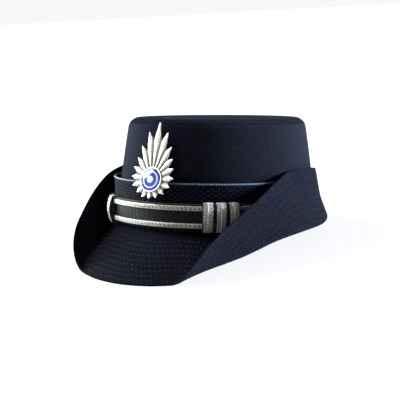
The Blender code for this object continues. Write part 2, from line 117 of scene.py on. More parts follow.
# Brim, with rows of angle from the front, reach, drop and width as shares of BRIM_WIDTH, and lean.
# The first and last rows are the second's and last but one's mirror images.
BRIM_WIDTH = 0.0575
BRIM_THICKNESS = 0.0020
BRIM_FOLD_RADIUS = 0.0034
BRIM_CLEARANCE = 0.0004
BRIM_WEAVE_STRETCH = 1.18
BRIM_BACK_RADIUS = 0.12
BRIM_ROWS = np.array((
    (-10, 0.794, 0.541, 0.934, 115),
    (0, 0.808, 0.550, 0.942, 120),
    (10, 0.794, 0.541, 0.934, 115),
    (15, 0.774, 0.530, 0.928, 100),
    (20, 0.754, 0.514, 0.936, 62),
    (23, 0.710, 0.471, 0.950, 50),
    (26, 0.630, 0.430, 0.975, 41),
    (31, 0.504, 0.376, 1.014, 27),
    (38, 0.374, 0.324, 1.026, 15),
    (46, 0.278, 0.266, 1.034, 8),
    (54, 0.214, 0.198, 1.030, 3),
    (61, 0.188, 0.132, 1.026, -2),
    (70, 0.176, 0.070, 1.032, -9),
    (80, 0.168, 0.028, 1.040, -15),
    (90, 0.165, 0.008, 1.044, -18),
    (110, 0.168, 0.016, 1.020, -20),
    (130, 0.172, 0.040, 0.998, -20),
    (155, 0.174, 0.060, 0.985, -20),
    (180, 0.174, 0.066, 0.985, -20),
    (205, 0.174, 0.060, 0.985, -20),
))
STITCHED_REACH = 0.0470
HEM_LINE = 0.0021

# Badge
BADGE_HEIGHT = 0.0610
BADGE_CENTRE_HEIGHT = 0.0575
BADGE_EDGE_THICKNESS = 0.0009
BADGE_RIDGE_HEIGHT = 0.0016
BADGE_VALLEY = 0.80
ENAMEL_RADIUS = 0.0082
ENAMEL_DOME = 0.0012
COLLAR_WIDTH = 0.0016
COLLAR_HEIGHT = 0.0027
SEAT_DEPTH = 0.0012
# Rays: angle from straight up, and length as a share of the badge's height
BADGE_RAYS = (
    (0, 0.755), (13, 0.640), (27, 0.490), (43, 0.385), (62, 0.335),
    (84, 0.315), (107, 0.290), (131, 0.265), (156, 0.250), (180, 0.245),
)
COLLAR_BEADS = 44
CHEVRON_PITCH = 0.0026
CHEVRON_SLANT = 0.0021

# Grooves in the cloth: depth and half width
TIP_SEAM = (0.00014, 0.0005)
CROWN_STITCH_GROOVE = (0.00006, 0.0009)
CROWN_BACK_SEAM = (0.00035, 0.0011)
BRIM_STITCH_GROOVE = (0.00009, 0.0008)
BRIM_BACK_SEAM = (0.00030, 0.0010)
HEM_GROOVE = (0.00020, 0.0004)

# Height of the fine relief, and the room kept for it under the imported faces
RELIEF_ROOM = 0.0001
WALL_WAVES = 0.00012
TIP_WAVES = 0.00018
BAND_RIBS = 0.00034
BRAID_TWIST = 0.00016
BRAID_CORDS = 0.00004
BRAID_CHANNELS = 0.00022
RIBBON_SWELL = 0.00014
RIBBON_RIDGE = 0.00030
RIBBON_RIBS = 0.00008
RIBBON_HATCH = 0.00016
RIBBON_ROUNDING = 0.00035
RIBBON_DROP = 0.00032
SLEEVE_DROPS = (0.00115, 0.00082, 0.00075, 0.00075)
RAY_RIDGES = 0.00075
RAY_FACETS = 0.00022
RAY_FLUTES = 0.00014

# Length of one turn or rib of the braids' and slides' threads
BRAID_TWIST_PITCH = 0.0033
BRAID_CORD_PITCH = 0.0016
SLIDE_RIB_PITCH = 0.0011

# Stitches: how rows are staggered, and the crown's as shares of the brim's
STITCH_STAGGER = 0.0006
CROWN_STITCH_SHARE = 0.84
CROWN_THREAD_SHARE = 0.8

# How finely the meshes are divided: columns round the cap, or round a slide, and rows
CROWN_COLUMNS = 361
WALL_ROWS = 35
CORNER_ROWS = 18
TIP_ROWS = 14
BRIM_COLUMNS = 421
BAND_COLUMNS = 281
BAND_ROWS_PER_RIB = 5
PIPING_COLUMNS = 1601
PIPING_ROWS = 12
STRAP_COLUMNS = 721
BRAID_COLUMNS = 901
BRAID_ROWS = 21
SLIDE_COLUMNS = 320
RIBBON_ROWS = 35
RAY_ROWS = 49


# Outline of the cap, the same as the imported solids'


def smooth_step(value, low, high):
    share = np.clip((value - low) / (high - low), 0.0, 1.0)
    return share * share * (3.0 - 2.0 * share)


def bell(distance, width):
    return np.exp(-((distance / width) ** 2))


def groove(distance, depth, half_width):
    """How deep a groove is at a distance from its middle."""
    return depth * bell(distance, half_width)


def quarter_round(share):
    """Height of a quarter round at a share of its width, and 1 beyond it."""
    return np.sqrt(np.clip(1.0 - (1.0 - np.minimum(share, 1.0)) ** 2, 0.0, 1.0))


def unit(vectors):
    return vectors / np.maximum(np.linalg.norm(vectors, axis=-1, keepdims=True), 1e-12)


def line_lengths(points):
    """Running length along a line of points."""
    steps = np.linalg.norm(np.diff(points, axis=0), axis=-1)
    return np.concatenate(([0.0], np.cumsum(steps)))


def at_lengths(spots, lengths, points):
    """A line's points, or the values at them, at spots along its running lengths."""
    return np.stack([np.interp(spots, lengths, axis) for axis in points.T], axis=-1)


def from_front(angle):
    """Angle from the front in degrees, 0 to 180, the same on both sides."""
    return np.degrees(np.arccos(np.clip(np.cos(angle), -1.0, 1.0)))


def oval(angle, offset, height):
    """Points round the head oval, one for each value of the three together."""
    angle, offset, height = np.broadcast_arrays(angle, offset, height)
    x = (BAND_HALF_WIDTH + offset) * np.sin(angle)
    y = -(BAND_HALF_LENGTH + offset) * np.cos(angle)
    return np.stack((x, y, height), axis=-1)


def outward(angle):
    """Outward normals of the head oval, level."""
    x, y = np.sin(angle) / BAND_HALF_WIDTH, -np.cos(angle) / BAND_HALF_LENGTH
    return unit(np.stack((x, y, 0.0 * x), axis=-1))


def strap_bottom(angle):
    return RING_HEIGHT - RING_DIP * np.sin(angle) ** 2


def strap_top(angle):
    return strap_bottom(angle) + STRAP_WIDTH


def seam_height(angle):
    return strap_bottom(angle) - SEAM_BELOW_STRAP


def band_top(angle):
    return BAND_TOP - RING_DIP * np.sin(angle) ** 2


def crown_offset(angle, height):
    seam = seam_height(angle)
    share = (height - seam) / (CROWN_HEIGHT - seam)
    return CROWN_BASE - CROWN_TAPER * share + CROWN_BELLY * np.sin(pi * share)


def hug(angle):
    return smooth_step(from_front(angle), UPRIGHT_TO_ANGLE, HUG_FROM_ANGLE)


def wrap(angle, height, layer):
    """Offset of a trim's face: upright in front, along the crown at the sides and back."""
    lean = crown_offset(angle, height) - crown_offset(angle, seam_height(angle))
    return layer + hug(angle) * lean


def lay(angle, height, layer):
    """Points of a trim's face, a layer out from the band's face."""
    return oval(angle, wrap(angle, height, layer), height)


def strap_back(angle):
    stand = 2.0 * CLEARANCE + SLIDE_BACK_WALL
    return stand + (CLEARANCE - stand) * hug(angle)


def braid_back(angle):
    return strap_back(angle) + STRAP_THICKNESS + CLEARANCE


def strap_trim_face(angle):
    past_braids = smooth_step(from_front(angle), BRAID_END_ANGLE, BRAID_END_ANGLE + 15.0)
    braids = (CLEARANCE + BRAID_THICKNESS) * (1.0 - past_braids)
    return strap_back(angle) + STRAP_THICKNESS + braids


def crown_slope(angle):
    return np.arctan((CROWN_TAPER + pi * CROWN_BELLY) / (CROWN_HEIGHT - seam_height(angle)))


def corner_point(angle, elevation):
    """Offset and height on the crown's rounded corner, by the elevation of its normal."""
    slope = crown_slope(angle)
    setback = CROWN_CORNER_RADIUS * np.cos(slope) / (1.0 + np.sin(slope))
    offset = CROWN_BASE - CROWN_TAPER - setback + CROWN_CORNER_RADIUS * np.cos(elevation)
    return offset, CROWN_HEIGHT - CROWN_CORNER_RADIUS * (1.0 - np.sin(elevation))


def tip_seam_elevation(side):
    """Where the tip (side +1) or the wall (side -1) ends on the rounded corner."""
    share = (CROWN_CORNER_RADIUS - TIP_SEAM_DROP) / CROWN_CORNER_RADIUS
    return atan2(share, sqrt(1.0 - share ** 2)) + side * 0.5 * CLEARANCE / CROWN_CORNER_RADIUS


def piping_layer(angle):
    on_edge = -0.5 * BAND_THICKNESS
    on_crown = CROWN_BASE + CLEARANCE + PIPING_RADIUS
    return on_edge + (on_crown - on_edge) * hug(angle)


def piping_height(angle):
    return band_top(angle) + CLEARANCE + PIPING_RADIUS


def trim_face(angle, height):
    """Outermost face of the crown and its trims, where the turned-up brim lies over them."""
    piping_top = band_top(angle) + CLEARANCE + 2.0 * PIPING_RADIUS
    strap_edge = strap_top(angle)
    step = 0.5 * (piping_top - strap_edge)
    heights = (strap_edge, strap_edge + step, piping_top, piping_top + 2.0 * step)
    piping_face = piping_layer(angle) + PIPING_RADIUS
    layers = (strap_trim_face(angle), piping_face, piping_face, CROWN_BASE)
    return wrap(angle, height, np.interp(height, heights, layers))


def brim_values(angle):
    """Reach, drop, width and lean of the brim, by a smooth curve through the table's rows."""
    position = float(from_front(angle))
    index = int(np.clip(np.searchsorted(BRIM_ROWS[:, 0], position), 2, len(BRIM_ROWS) - 2))
    before, low, high, after = BRIM_ROWS[index - 2:index + 2]
    span = high[0] - low[0]
    share = (position - low[0]) / span
    slope_in = (high - before) / (high[0] - before[0])
    slope_out = (after - low) / (after[0] - low[0])
    curve = (
        (2 * share ** 3 - 3 * share ** 2 + 1) * low
        + (share ** 3 - 2 * share ** 2 + share) * span * slope_in
        + (3 * share ** 2 - 2 * share ** 3) * high
        + (share ** 3 - share ** 2) * span * slope_out
    )
    return *(curve[1:4] * BRIM_WIDTH), radians(curve[4])


def heading(angle):
    return np.array((cos(angle), sin(angle)))


def brim_path(angle, arc_points=24):
    """Middle line of the brim from the crown's seam over its fold to the free edge."""
    reach, drop, width, lean = brim_values(angle)
    start = np.array((CROWN_BASE, seam_height(angle) - CLEARANCE - 0.5 * BRIM_THICKNESS))
    fold = start + np.array((reach, -drop))
    flap = max(width - hypot(reach, drop), CLEARANCE)
    rise = 0.5 * pi - lean
    end = fold + heading(rise) * flap
    slope = atan2(-drop, reach)
    half_turn = 0.5 * (rise - slope)
    radius = min(BRIM_FOLD_RADIUS, 0.8 * flap * cos(half_turn) / max(sin(half_turn), CLEARANCE))
    folded = smooth_step(flap, 0.0, 4.0 * BRIM_THICKNESS)
    beyond = radius * (1.0 / cos(half_turn) - 1.0) - 0.5 * BRIM_THICKNESS * folded
    corner = fold + heading(slope + half_turn - 0.5 * pi) * beyond
    outward_leg = corner - start
    upward_leg = end - corner
    slope = atan2(outward_leg[1], outward_leg[0])
    turn = atan2(upward_leg[1], upward_leg[0]) - slope
    setback = min(radius * sin(0.5 * turn) / cos(0.5 * turn), 0.95 * hypot(*upward_leg))
    radius = setback * cos(0.5 * turn) / sin(0.5 * turn)
    centre = corner - heading(slope) * setback + heading(slope + 0.5 * pi) * radius
    arc = [
        centre + heading(slope + turn * step / arc_points - 0.5 * pi) * radius
        for step in range(arc_points + 1)
    ]
    return np.array([start, *arc, end])


def brim_middle(angle, samples=180):
    """The brim's middle line, pressed out where the flap lies over the trims, from the rim
    inside the crown to the free edge's outermost point."""
    path = brim_path(angle)
    lengths = line_lengths(path)
    total = lengths[-1]
    least = BRIM_THICKNESS
    before_fold = min(lengths[1], total - 2.0 * least)
    after_fold = min(max(lengths[-2], before_fold + least), total - least)
    fold_marks = (0.0, before_fold, after_fold, total)
    marks = np.interp(np.linspace(0.0, 3.0, 16), range(4), fold_marks)
    offset, height = at_lengths(marks, lengths, path).T
    lifted = smooth_step(marks, after_fold - BRIM_FOLD_RADIUS, after_fold + BRIM_FOLD_RADIUS)
    closest = trim_face(angle, height) + BRIM_CLEARANCE + 0.5 * BRIM_THICKNESS
    pushed = 0.5 * (offset + closest + np.hypot(offset - closest, BRIM_CLEARANCE))
    along = np.linspace(0.0, total, samples)
    push = np.interp(along, marks, (pushed - offset) * lifted)
    kernel = np.hanning(23) / np.hanning(23).sum()
    push = np.convolve(np.pad(push, len(kernel) // 2, mode="edge"), kernel, mode="valid")
    line = at_lengths(along, lengths, path)
    line[:, 0] += push
    rim = np.array((CROWN_BASE - CROWN_WALL, line[0, 1]))
    return np.vstack((rim, line, line[-1] + 0.5 * BRIM_THICKNESS * unit(line[-1] - line[-2])))


def place_on_oval(angle, height):
    """Frame on the band's face: x along the oval, y into the cap, z up."""
    normal = Vector(outward(angle))
    tangent = Vector((-normal.y, normal.x, 0.0))
    made = Matrix((tangent, -normal, Vector((0.0, 0.0, 1.0)))).transposed().to_4x4()
    made.translation = Vector(oval(angle, 0.0, height))
    return made


def badge_frame():
    """Frame of the badge: x across, y into the cap, z up its face, at the enamel's centre."""
    piping_front = piping_layer(0.0) + PIPING_RADIUS + CLEARANCE
    tip_height = BADGE_CENTRE_HEIGHT + BADGE_RAYS[0][1] * BADGE_HEIGHT * cos(crown_slope(0.0))
    tip_front = crown_offset(0.0, tip_height) + CLEARANCE
    lean = atan((piping_front - tip_front) / (tip_height - piping_height(0.0)))
    centre = piping_front - (BADGE_CENTRE_HEIGHT - piping_height(0.0)) * tan(lean) + CLEARANCE
    made = Matrix.Rotation(-lean, 4, "X")
    made.translation = Vector(oval(0.0, centre, BADGE_CENTRE_HEIGHT))
    return made


# Columns round the oval and meshes from grids of points


def oval_columns(count, reach=pi):
    """Angles evenly spaced along the oval from -reach to reach, and how far along each one is."""
    fine = np.linspace(-reach, reach, 4001)
    along = line_lengths(oval(fine, 0.0, 0.0))
    spots = np.linspace(0.0, along[-1], count)
    return np.interp(spots, along, fine), spots - 0.5 * along[-1]


def beside(*grids):
    return np.concatenate(grids, axis=1)


def normals_of(points):
    """Unit normals of a grid of points (columns, rows, 3)."""
    return unit(np.cross(np.gradient(points, axis=0), np.gradient(points, axis=1)))


def grid_parts(points, metres, close_columns=False, close_rows=False):
    """Points, quads and corner (u, v) of a grid. Metres, its (u, v), has one more column or row
    where the grid closes."""
    columns, rows = points.shape[:2]
    across = columns if close_columns else columns - 1
    up = rows if close_rows else rows - 1
    i, j = np.meshgrid(np.arange(across), np.arange(up), indexing="ij")
    i, j = i.reshape(-1), j.reshape(-1)
    corners = ((i, j), (i + 1, j), (i + 1, j + 1), (i, j + 1))
    faces = np.stack([(a % columns) * rows + b % rows for a, b in corners], axis=1)
    loops = np.stack([metres[a, b] for a, b in corners], axis=1)
    return points.reshape(-1, 3), faces, loops


def ring_metres(points, along):
    """(u, v) of a ring of closed sections, u given and v measured round the section."""
    steps = np.linalg.norm(np.diff(beside(points, points[:, :1]), axis=1), axis=-1)
    v = np.concatenate(([0.0], np.cumsum(steps.mean(axis=0))))
    return np.stack(np.meshgrid(along, v, indexing="ij"), axis=-1)


def merge_parts(parts):
    """One set of points, faces and corner (u, v) from several of them."""
    before = np.cumsum([0] + [len(points) for points, _, _ in parts])
    points, faces, loops = zip(*parts)
    faces = [part + count for part, count in zip(faces, before)]
    return np.vstack(points), np.vstack(faces), np.vstack(loops)


def end_caps(points, metres):
    """Quads that close both ends of a tube of closed sections, each from its two halves."""
    half = points.shape[1] // 2
    grids = (points, metres)
    return [
        grid_parts(*(
            np.stack((grid[end, :half], grid[end, half:2 * half][::-1])) for grid in grids
        ))
        for end in (0, -1)
    ]


def add_piece(name, parts, material, slot, *nodes, place=SET_DOWN, **marks):
    """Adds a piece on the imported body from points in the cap's frame, quads and corner (u, v).
    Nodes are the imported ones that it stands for. Marks are values at its points, which its
    material reads by name."""
    points, faces, metres = parts
    points = points @ np.asarray(place.to_3x3()).T + np.asarray(place.translation)
    first, second, third, fourth = (points[faces[:, corner]] for corner in range(4))
    if (first * (np.cross(second, third) + np.cross(third, fourth))).sum() < 0.0:
        faces, metres = faces[:, ::-1], metres[:, ::-1]
    mesh = bpy.data.meshes.new(name)
    mesh.from_pydata(points.tolist(), [], faces.tolist())
    layer = mesh.uv_layers.new(name=UV_NAME)
    layer.data.foreach_set("uv", metres.reshape(-1).astype(np.float32))
    for key, values in marks.items():
        layer = mesh.attributes.new(key, "FLOAT", "POINT")
        layer.data.foreach_set("value", values.reshape(-1).astype(np.float32))
    mesh.shade_smooth()
    mesh.materials.append(material)
    piece = bpy.data.objects.new(name, mesh)
    bpy.context.scene.collection.objects.link(piece)
    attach(piece, BODY)
    if nodes:
        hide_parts(*nodes)


def add_ring(name, points, along, *about, **marks):
    """Adds a closed ring: points are (columns, rows, 3) without the closing column and row."""
    add_piece(name, grid_parts(points, ring_metres(points, along), True, True), *about, **marks)


# Stitches


def stitch_template():
    """One stitch along +X, arched up +Z, of length 2 and thickness 2, in its own units."""
    stations = np.array((-1.0, -0.62, 0.0, 0.62, 1.0))[:, None]
    widths = np.array((0.35, 0.95, 1.0, 0.95, 0.35))[:, None]
    lifts = np.array((-0.9, -0.15, 0.25, -0.15, -0.9))[:, None]
    share = np.linspace(0.0, 1.0, 6)
    turn = 2.0 * pi * share
    section = (stations, widths * np.cos(turn), lifts + widths * np.sin(turn))
    points = np.stack(np.broadcast_arrays(*section), axis=-1)
    flat = np.stack(np.broadcast_arrays(stations, share), axis=-1)
    return grid_parts(points[:, :-1], flat, close_rows=True)


def stitch_row(line, normals, pitch, thickness, start=0.0):
    """Stitches along a line of points: (points, faces, corner (u, v)) of all of them."""
    length, radius = 0.5 * pitch, 0.5 * thickness
    along = line_lengths(line)
    count = max(int((along[-1] - start) / pitch), 1)
    middles = start + (np.arange(count) + 0.5) * (along[-1] - start) / count
    up = unit(at_lengths(middles, along, normals))
    behind, centre, ahead = (
        at_lengths(middles + way * length, along, line) for way in (-0.5, 0.0, 0.5)
    )
    tangent = ahead - behind
    tangent = unit(tangent - up * (tangent * up).sum(axis=1, keepdims=True))
    shape, faces, loops = stitch_template()
    ways = ((tangent, 0.5 * length), (np.cross(up, tangent), radius), (up, radius))
    points = centre[:, None] + sum(
        way[:, None] * size * shape[:, axis:axis + 1] for axis, (way, size) in enumerate(ways)
    )
    faces = faces + (np.arange(count) * len(shape))[:, None, None]
    return points.reshape(-1, 3), faces.reshape(-1, 4), np.tile(loops, (count, 1, 1)) * length


# Shader expressions


class Wire:
    """A shader socket used in Python expressions, which add Math nodes."""

    def __init__(self, look, socket):
        self.look, self.socket = look, socket

    def __add__(self, other):
        return self.look.math("ADD", self, other)

    __radd__ = __add__

    def __sub__(self, other):
        return self.look.math("SUBTRACT", self, other)

    def __rsub__(self, other):
        return self.look.math("SUBTRACT", other, self)

    def __mul__(self, other):
        return self.look.math("MULTIPLY", self, other)

    __rmul__ = __mul__

    def __truediv__(self, other):
        return self.look.math("DIVIDE", self, other)

    def __pow__(self, other):
        return self.look.math("POWER", self, other)

    def __abs__(self):
        return self.look.math("ABSOLUTE", self)


class Look:
    """The nodes of a material or of the studio's surroundings, and the shader that they feed."""

    def __init__(self, owner, shader="Principled BSDF"):
        owner.use_nodes = True
        self.owner, self.tree = owner, owner.node_tree
        self.shader = self.tree.nodes[shader]

    def put(self, socket, value):
        """Links a wire to a socket, or sets the socket's value."""
        if isinstance(value, Wire):
            self.tree.links.new(value.socket, socket)
        else:
            socket.default_value = value

    def node(self, kind, settings=None, inputs=None, output=0):
        """Adds a node: its settings are set first, then the values or links of its sockets."""
        made = self.tree.nodes.new(kind)
        for name, value in (settings or {}).items():
            setattr(made, name, value)
        for key, value in (inputs or {}).items():
            self.put(made.inputs[key], value)
        return Wire(self, made.outputs[output])

    def math(self, operation, *values):
        return self.node("ShaderNodeMath", {"operation": operation}, dict(enumerate(values)))

    def sine(self, value):
        return self.math("SINE", value)

    def split(self, vector):
        """The x, y and z of a vector."""
        x = self.node("ShaderNodeSeparateXYZ", None, {0: vector})
        return [Wire(self, socket) for socket in x.socket.node.outputs]

    def metres(self):
        """The surface's own u and v, in metres."""
        return self.split(self.node("ShaderNodeUVMap", {"uv_map": UV_NAME}))[:2]

    def marked(self, name):
        """A value that the mesh carries at its points."""
        return self.node("ShaderNodeAttribute", {"attribute_name": name}, None, "Fac")

    def step(self, value, low, high):
        """0 below low, 1 above high, smooth between."""
        inputs = {"Value": value, "From Min": low, "From Max": high}
        return self.node("ShaderNodeMapRange", {"interpolation_type": "SMOOTHSTEP"}, inputs)

    def between(self, value, low, high, soft):
        """1 between low and high, smooth over the soft share inside each."""
        return self.step(value, low, low + soft) * (1.0 - self.step(value, high - soft, high))

    def noise(self, vector, scale, detail, roughness=0.5):
        inputs = {"Vector": vector, "Scale": scale, "Detail": detail, "Roughness": roughness}
        return self.node("ShaderNodeTexNoise", None, inputs)

    def fibres(self, x, y, detail=2.0):
        """Noise over the surface, in x and y that stretch it."""
        return self.noise(self.node("ShaderNodeCombineXYZ", None, {0: x, 1: y}), 1.0, detail)

    def grain(self, scale, detail=2.0, roughness=0.5):
        """Noise through the piece's own space."""
        place = self.node("ShaderNodeTexCoord", None, None, "Object")
        return self.noise(place, scale, detail, roughness)

    def blend(self, factor, first, second):
        """Mixes two colours."""
        inputs = {0: factor, 6: first, 7: second}
        return self.node("ShaderNodeMix", {"data_type": "RGBA"}, inputs, 2)

    def bump(self, height, distance, strength, **normal):
        inputs = {"Strength": strength, "Distance": distance, "Height": height, **normal}
        return self.node("ShaderNodeBump", None, inputs)

    def feed(self, shader=None, **sockets):
        """Feeds a shader's sockets, named with _ for a space, and gives back the owner."""
        for name, value in sockets.items():
            self.put((shader or self.shader).inputs[name.replace("_", " ")], value)
        return self.owner

    def mix_in(self, factor, **sockets):
        """Mixes in a second Principled shader by a factor."""
        other = self.tree.nodes.new("ShaderNodeBsdfPrincipled")
        self.feed(other, **sockets)
        first, second = Wire(self, self.shader.outputs[0]), Wire(self, other.outputs[0])
        mixed = self.node("ShaderNodeMixShader", None, {0: factor, 1: first, 2: second})
        self.put(self.tree.nodes["Material Output"].inputs["Surface"], mixed)


def colour(rgb, share=1.0):
    """An opaque colour: all of rgb times a share, or each times its own."""
    return (*np.multiply(rgb, share).tolist(), 1.0)


def cloth_look(name, base, pitch, sheen, tint=(0.64, 0.76, 1.0), hem=0.0, turned_sheen=None):
    """Close plain weave: over and under threads, slubs, clustered fibres and a soft sheen. The
    hem is a lighter line along the free edge, a painted highlight on the hem's fold. Where the
    mesh is marked as turned, it can have a sheen of its own."""
    look = Look(bpy.data.materials.new(name))
    u, v = look.metres()
    warp, weft = look.sine(u * (pi / pitch)), look.sine(v * (pi / pitch))
    over = look.step(warp * weft, -0.35, 0.35)
    warp_thread = (1.0 - abs(warp) ** 3.0) * (0.45 + 0.55 * over)
    weft_thread = (1.0 - abs(weft) ** 3.0) * (1.0 - 0.55 * over)
    weave = look.math("MAXIMUM", warp_thread, weft_thread)
    slub = (look.fibres(u * 900.0, v * 160.0) + look.fibres(u * 160.0, v * 900.0)) * 0.5
    cluster = look.grain(620.0, 3.0, 0.65)
    patch = look.grain(55.0, 3.0, 0.6)
    tone = look.step(0.35 * weave + 0.7 * slub + 1.3 * cluster, 0.72, 1.60)
    wear_and_shade = look.blend(tone, colour(base, 0.35), colour(base, 1.9))
    body = look.blend(look.step(patch, 0.35, 0.7) * 0.3, wear_and_shade, colour(base, (1.3, 1.1, 0.95)))
    # Painted highlight: a lighter line along the hem's fold
    line = look.between(abs(v), HEM_LINE - 0.0007, HEM_LINE + 0.0005, 0.0004) * hem
    sockets = {
        "Base_Color": look.blend(line, body, colour(base, 3.0)),
        "Roughness": 0.80 + 0.14 * slub,
        "Specular_IOR_Level": 0.0,
        "Sheen_Weight": sheen,
        "Sheen_Roughness": 0.36,
        "Sheen_Tint": colour(tint),
        "Normal": look.bump(
            slub + 0.8 * cluster, 0.00026, 0.6, Normal=look.bump(weave, 0.00010, 0.75),
        ),
    }
    if turned_sheen is not None:
        look.mix_in(look.marked("turned"), **{**sockets, "Sheen_Weight": turned_sheen})
    return look.feed(**sockets)


def band_look(base, pitch):
    """Ribbed band: level ribs, painted lighter on their crests and darker in the hollows between
    them as painted light and shade, and a row of bright dashes along each rib, the weave's ticks
    painted lighter as sheen.
    """
    look = Look(bpy.data.materials.new("navy_grosgrain"))
    u, v = look.metres()
    tick = look.sine((u / 0.0058 + 0.5 * look.math("FLOOR", v / pitch)) * (2.0 * pi))
    ridge = abs(look.sine(v * (pi / pitch))) ** 0.7
    thread = look.fibres(u * 2200.0, v * 700.0, 1.0)
    # Painted light and shade: raised ribs lighter, their hollows darker; the dashes are painted
    # sheen
    raised = look.step(ridge, 0.15, 0.95)
    sheen_dash = look.step(tick, -0.3, 0.4) * look.step(ridge, 0.45, 0.95)
    tone = look.step(0.30 * raised + 0.90 * sheen_dash + 0.25 * thread, 0.20, 1.30)
    return look.feed(
        Base_Color=look.blend(tone, colour(base, 0.22), colour(base, (2.4, 2.5, 2.9))),
        Roughness=0.70 + 0.2 * thread,
        Specular_IOR_Level=0.02,
        Sheen_Weight=0.004,
        Sheen_Roughness=0.35,
        Sheen_Tint=(0.62, 0.70, 1.0, 1.0),
        Normal=look.bump(raised + 0.35 * sheen_dash + 0.25 * thread, 0.00028, 0.9),
    )


def piping_look(base):
    """Twisted cord: pale strands with painted shade in the hollows between them, pale only along
    the band of the cord's section that faces the light, and painted shade round the rest.
    """
    look = Look(bpy.data.materials.new("twisted_cord"))
    u, v = look.metres()
    strand = look.sine((u / 0.0022 + v / 0.0063) * (2.0 * pi))
    fibre = look.fibres(u * 2600.0, v * 2600.0)
    # Painted shade in the hollows between the strands
    hollow_shade = look.step(strand + 0.5 * fibre, -0.05, 0.75)
    # Painted light: the side of the cord facing the light stays pale, the rest is painted dark
    facing = look.sine(v * (1.0 / PIPING_RADIUS) + 1.15)
    lit = look.step(facing, 0.74, 0.98) * 0.94 + 0.06
    return look.feed(
        Base_Color=look.blend(hollow_shade * lit, colour(base, (0.04, 0.07, 0.12)), colour(base)),
        Roughness=0.5 + 0.25 * fibre,
        Specular_IOR_Level=0.14,
        Sheen_Weight=0.06,
        Sheen_Tint=(0.8, 0.92, 1.0, 1.0),
        Normal=look.bump(hollow_shade + 0.4 * fibre, 0.00022, 0.8),
    )


def strap_look(base, pitch):
    """Grosgrain strap: fine upright ribs, painted lighter on their crests and darker between them,
    between two plain selvedges painted lighter as a highlight along the strap's edges.
    """
    look = Look(bpy.data.materials.new("black_grosgrain"))
    u, v = look.metres()
    inner = look.between(v, 0.0005, STRAP_WIDTH - 0.0005, 0.0002)
    rib = abs(look.sine(u * (pi / pitch)))
    weft = look.fibres(u * 600.0, v * 3400.0, 1.0)
    uneven = look.fibres(u * 420.0, v * 60.0)
    # Painted light and shade: the ribs lighter on their crests, darker between them
    ribbed = (rib ** 0.8) * inner + (1.0 - inner) * 0.8
    tone = look.step(ribbed * (0.35 + 1.2 * uneven) + 0.3 * weft, 0.35, 1.15)
    dull = look.blend(tone, colour(base, 0.10), colour(base, 2.6))
    return look.feed(
        # Painted highlight: the selvedges are painted lighter along the strap's edges
        Base_Color=look.blend((1.0 - inner) * 0.6, dull, colour((0.034, 0.037, 0.031))),
        Roughness=0.50 + 0.25 * weft,
        Specular_IOR_Level=0.05,
        Sheen_Weight=0.018,
        Sheen_Roughness=0.35,
        Sheen_Tint=(0.80, 0.92, 0.85, 1.0),
        Normal=look.bump(ribbed + 0.15 * weft, 0.00022, 0.9),
    )


def silver_thread_look(name, silver, share, black):
    """Metallic thread: fine wound wire, lighter in random patches and, as a painted highlight, on
    its crests, painted nearly black as shade in its hollows, and black cloth where the mesh is
    marked as backing."""
    look = Look(bpy.data.materials.new(name))
    base = np.multiply(silver, share)
    u, v = look.metres()
    wire = look.sine((u * 1.0 + v * 0.55) * (2.0 * pi / 0.00042))
    patch = look.grain(900.0)
    # Painted highlight: the wire's crests a little lighter, over random patches
    crest = look.step(0.30 * wire + 1.5 * patch, 0.35, 1.15)
    wear_and_shade = look.blend(crest, colour(base, (0.42, 0.41, 0.36)), colour(base))
    dulled = look.step(look.grain(140.0), 0.40, 0.70) * 0.5
    bright = look.blend(dulled, wear_and_shade, colour(base, (0.86, 0.84, 0.74)))
    # Painted shade: nearly black where the mesh is marked deep
    hollow_shade = look.step(look.marked("depth"), 0.1, 0.9)
    cloth = look.step(look.marked("backing"), 0.4, 0.6)
    hollows_shaded = look.blend(hollow_shade, bright, colour((0.009, 0.008, 0.006)))
    return look.feed(
        Base_Color=look.blend(cloth, hollows_shaded, colour(black, 0.8)),
        Roughness=0.56 + 0.22 * patch + 0.3 * cloth,
        Metallic=0.95 - 0.95 * cloth,
        Normal=look.bump(wire + 1.5 * patch, 0.00006, 0.8),
    )


def silver_look(base):
    """Struck and polished silver, with brown painted shade where it is deep."""
    look = Look(bpy.data.materials.new("struck_silver"))
    cloud = look.grain(260.0, 3.0, 0.6)
    # Painted shade: brown where the mesh is marked deep
    deep = look.step(look.marked("depth") + 0.35 * cloud, 0.22, 0.80)
    return look.feed(
        Base_Color=look.blend(deep * 0.85, colour(base, 0.84), colour((0.10, 0.082, 0.058))),
        Roughness=0.26 + 0.20 * deep + 0.10 * cloud,
        Metallic=0.88 + 0.1 * deep,
        Normal=look.bump(look.grain(2600.0), 0.00003, 0.5),
    )


def enamel_look(base):
    """Blue enamel over a turned ground, with a thin pale ring and a small scalloped boss."""
    look = Look(bpy.data.materials.new("badge_enamel_glaze"))
    u, v = look.metres()
    radius = (u * u + v * v) ** 0.5 / ENAMEL_RADIUS
    angle = look.math("ARCTAN2", u, v)
    scallops = abs(look.sine(angle * 6.0))
    boss = 1.0 - look.step(radius - 0.28 - 0.07 * scallops, -0.02, 0.02)
    grooves = look.step(scallops, 0.0, 0.35) * 0.35 + 0.65
    ring = look.between(radius, 0.68, 0.84, 0.02)
    turned = look.sine(radius * 60.0 + 1.5 * look.sine(angle * 24.0))
    speck = look.grain(3000.0)
    tone = look.step(turned + 0.5 * speck, -1.0, 1.2)
    blue = look.blend(tone, colour(base, 0.55), colour(base, 1.35))
    painted = look.blend(boss * grooves, blue, colour((0.72, 0.72, 0.71)))
    return look.feed(
        Base_Color=look.blend(ring, painted, colour((0.66, 0.66, 0.64))),
        Metallic=ring * 0.15,
        Roughness=0.08 + 0.10 * speck,
        Coat_Weight=0.8,
        Coat_Roughness=0.04,
        Normal=look.bump(speck, 0.00002, 0.4),
    )


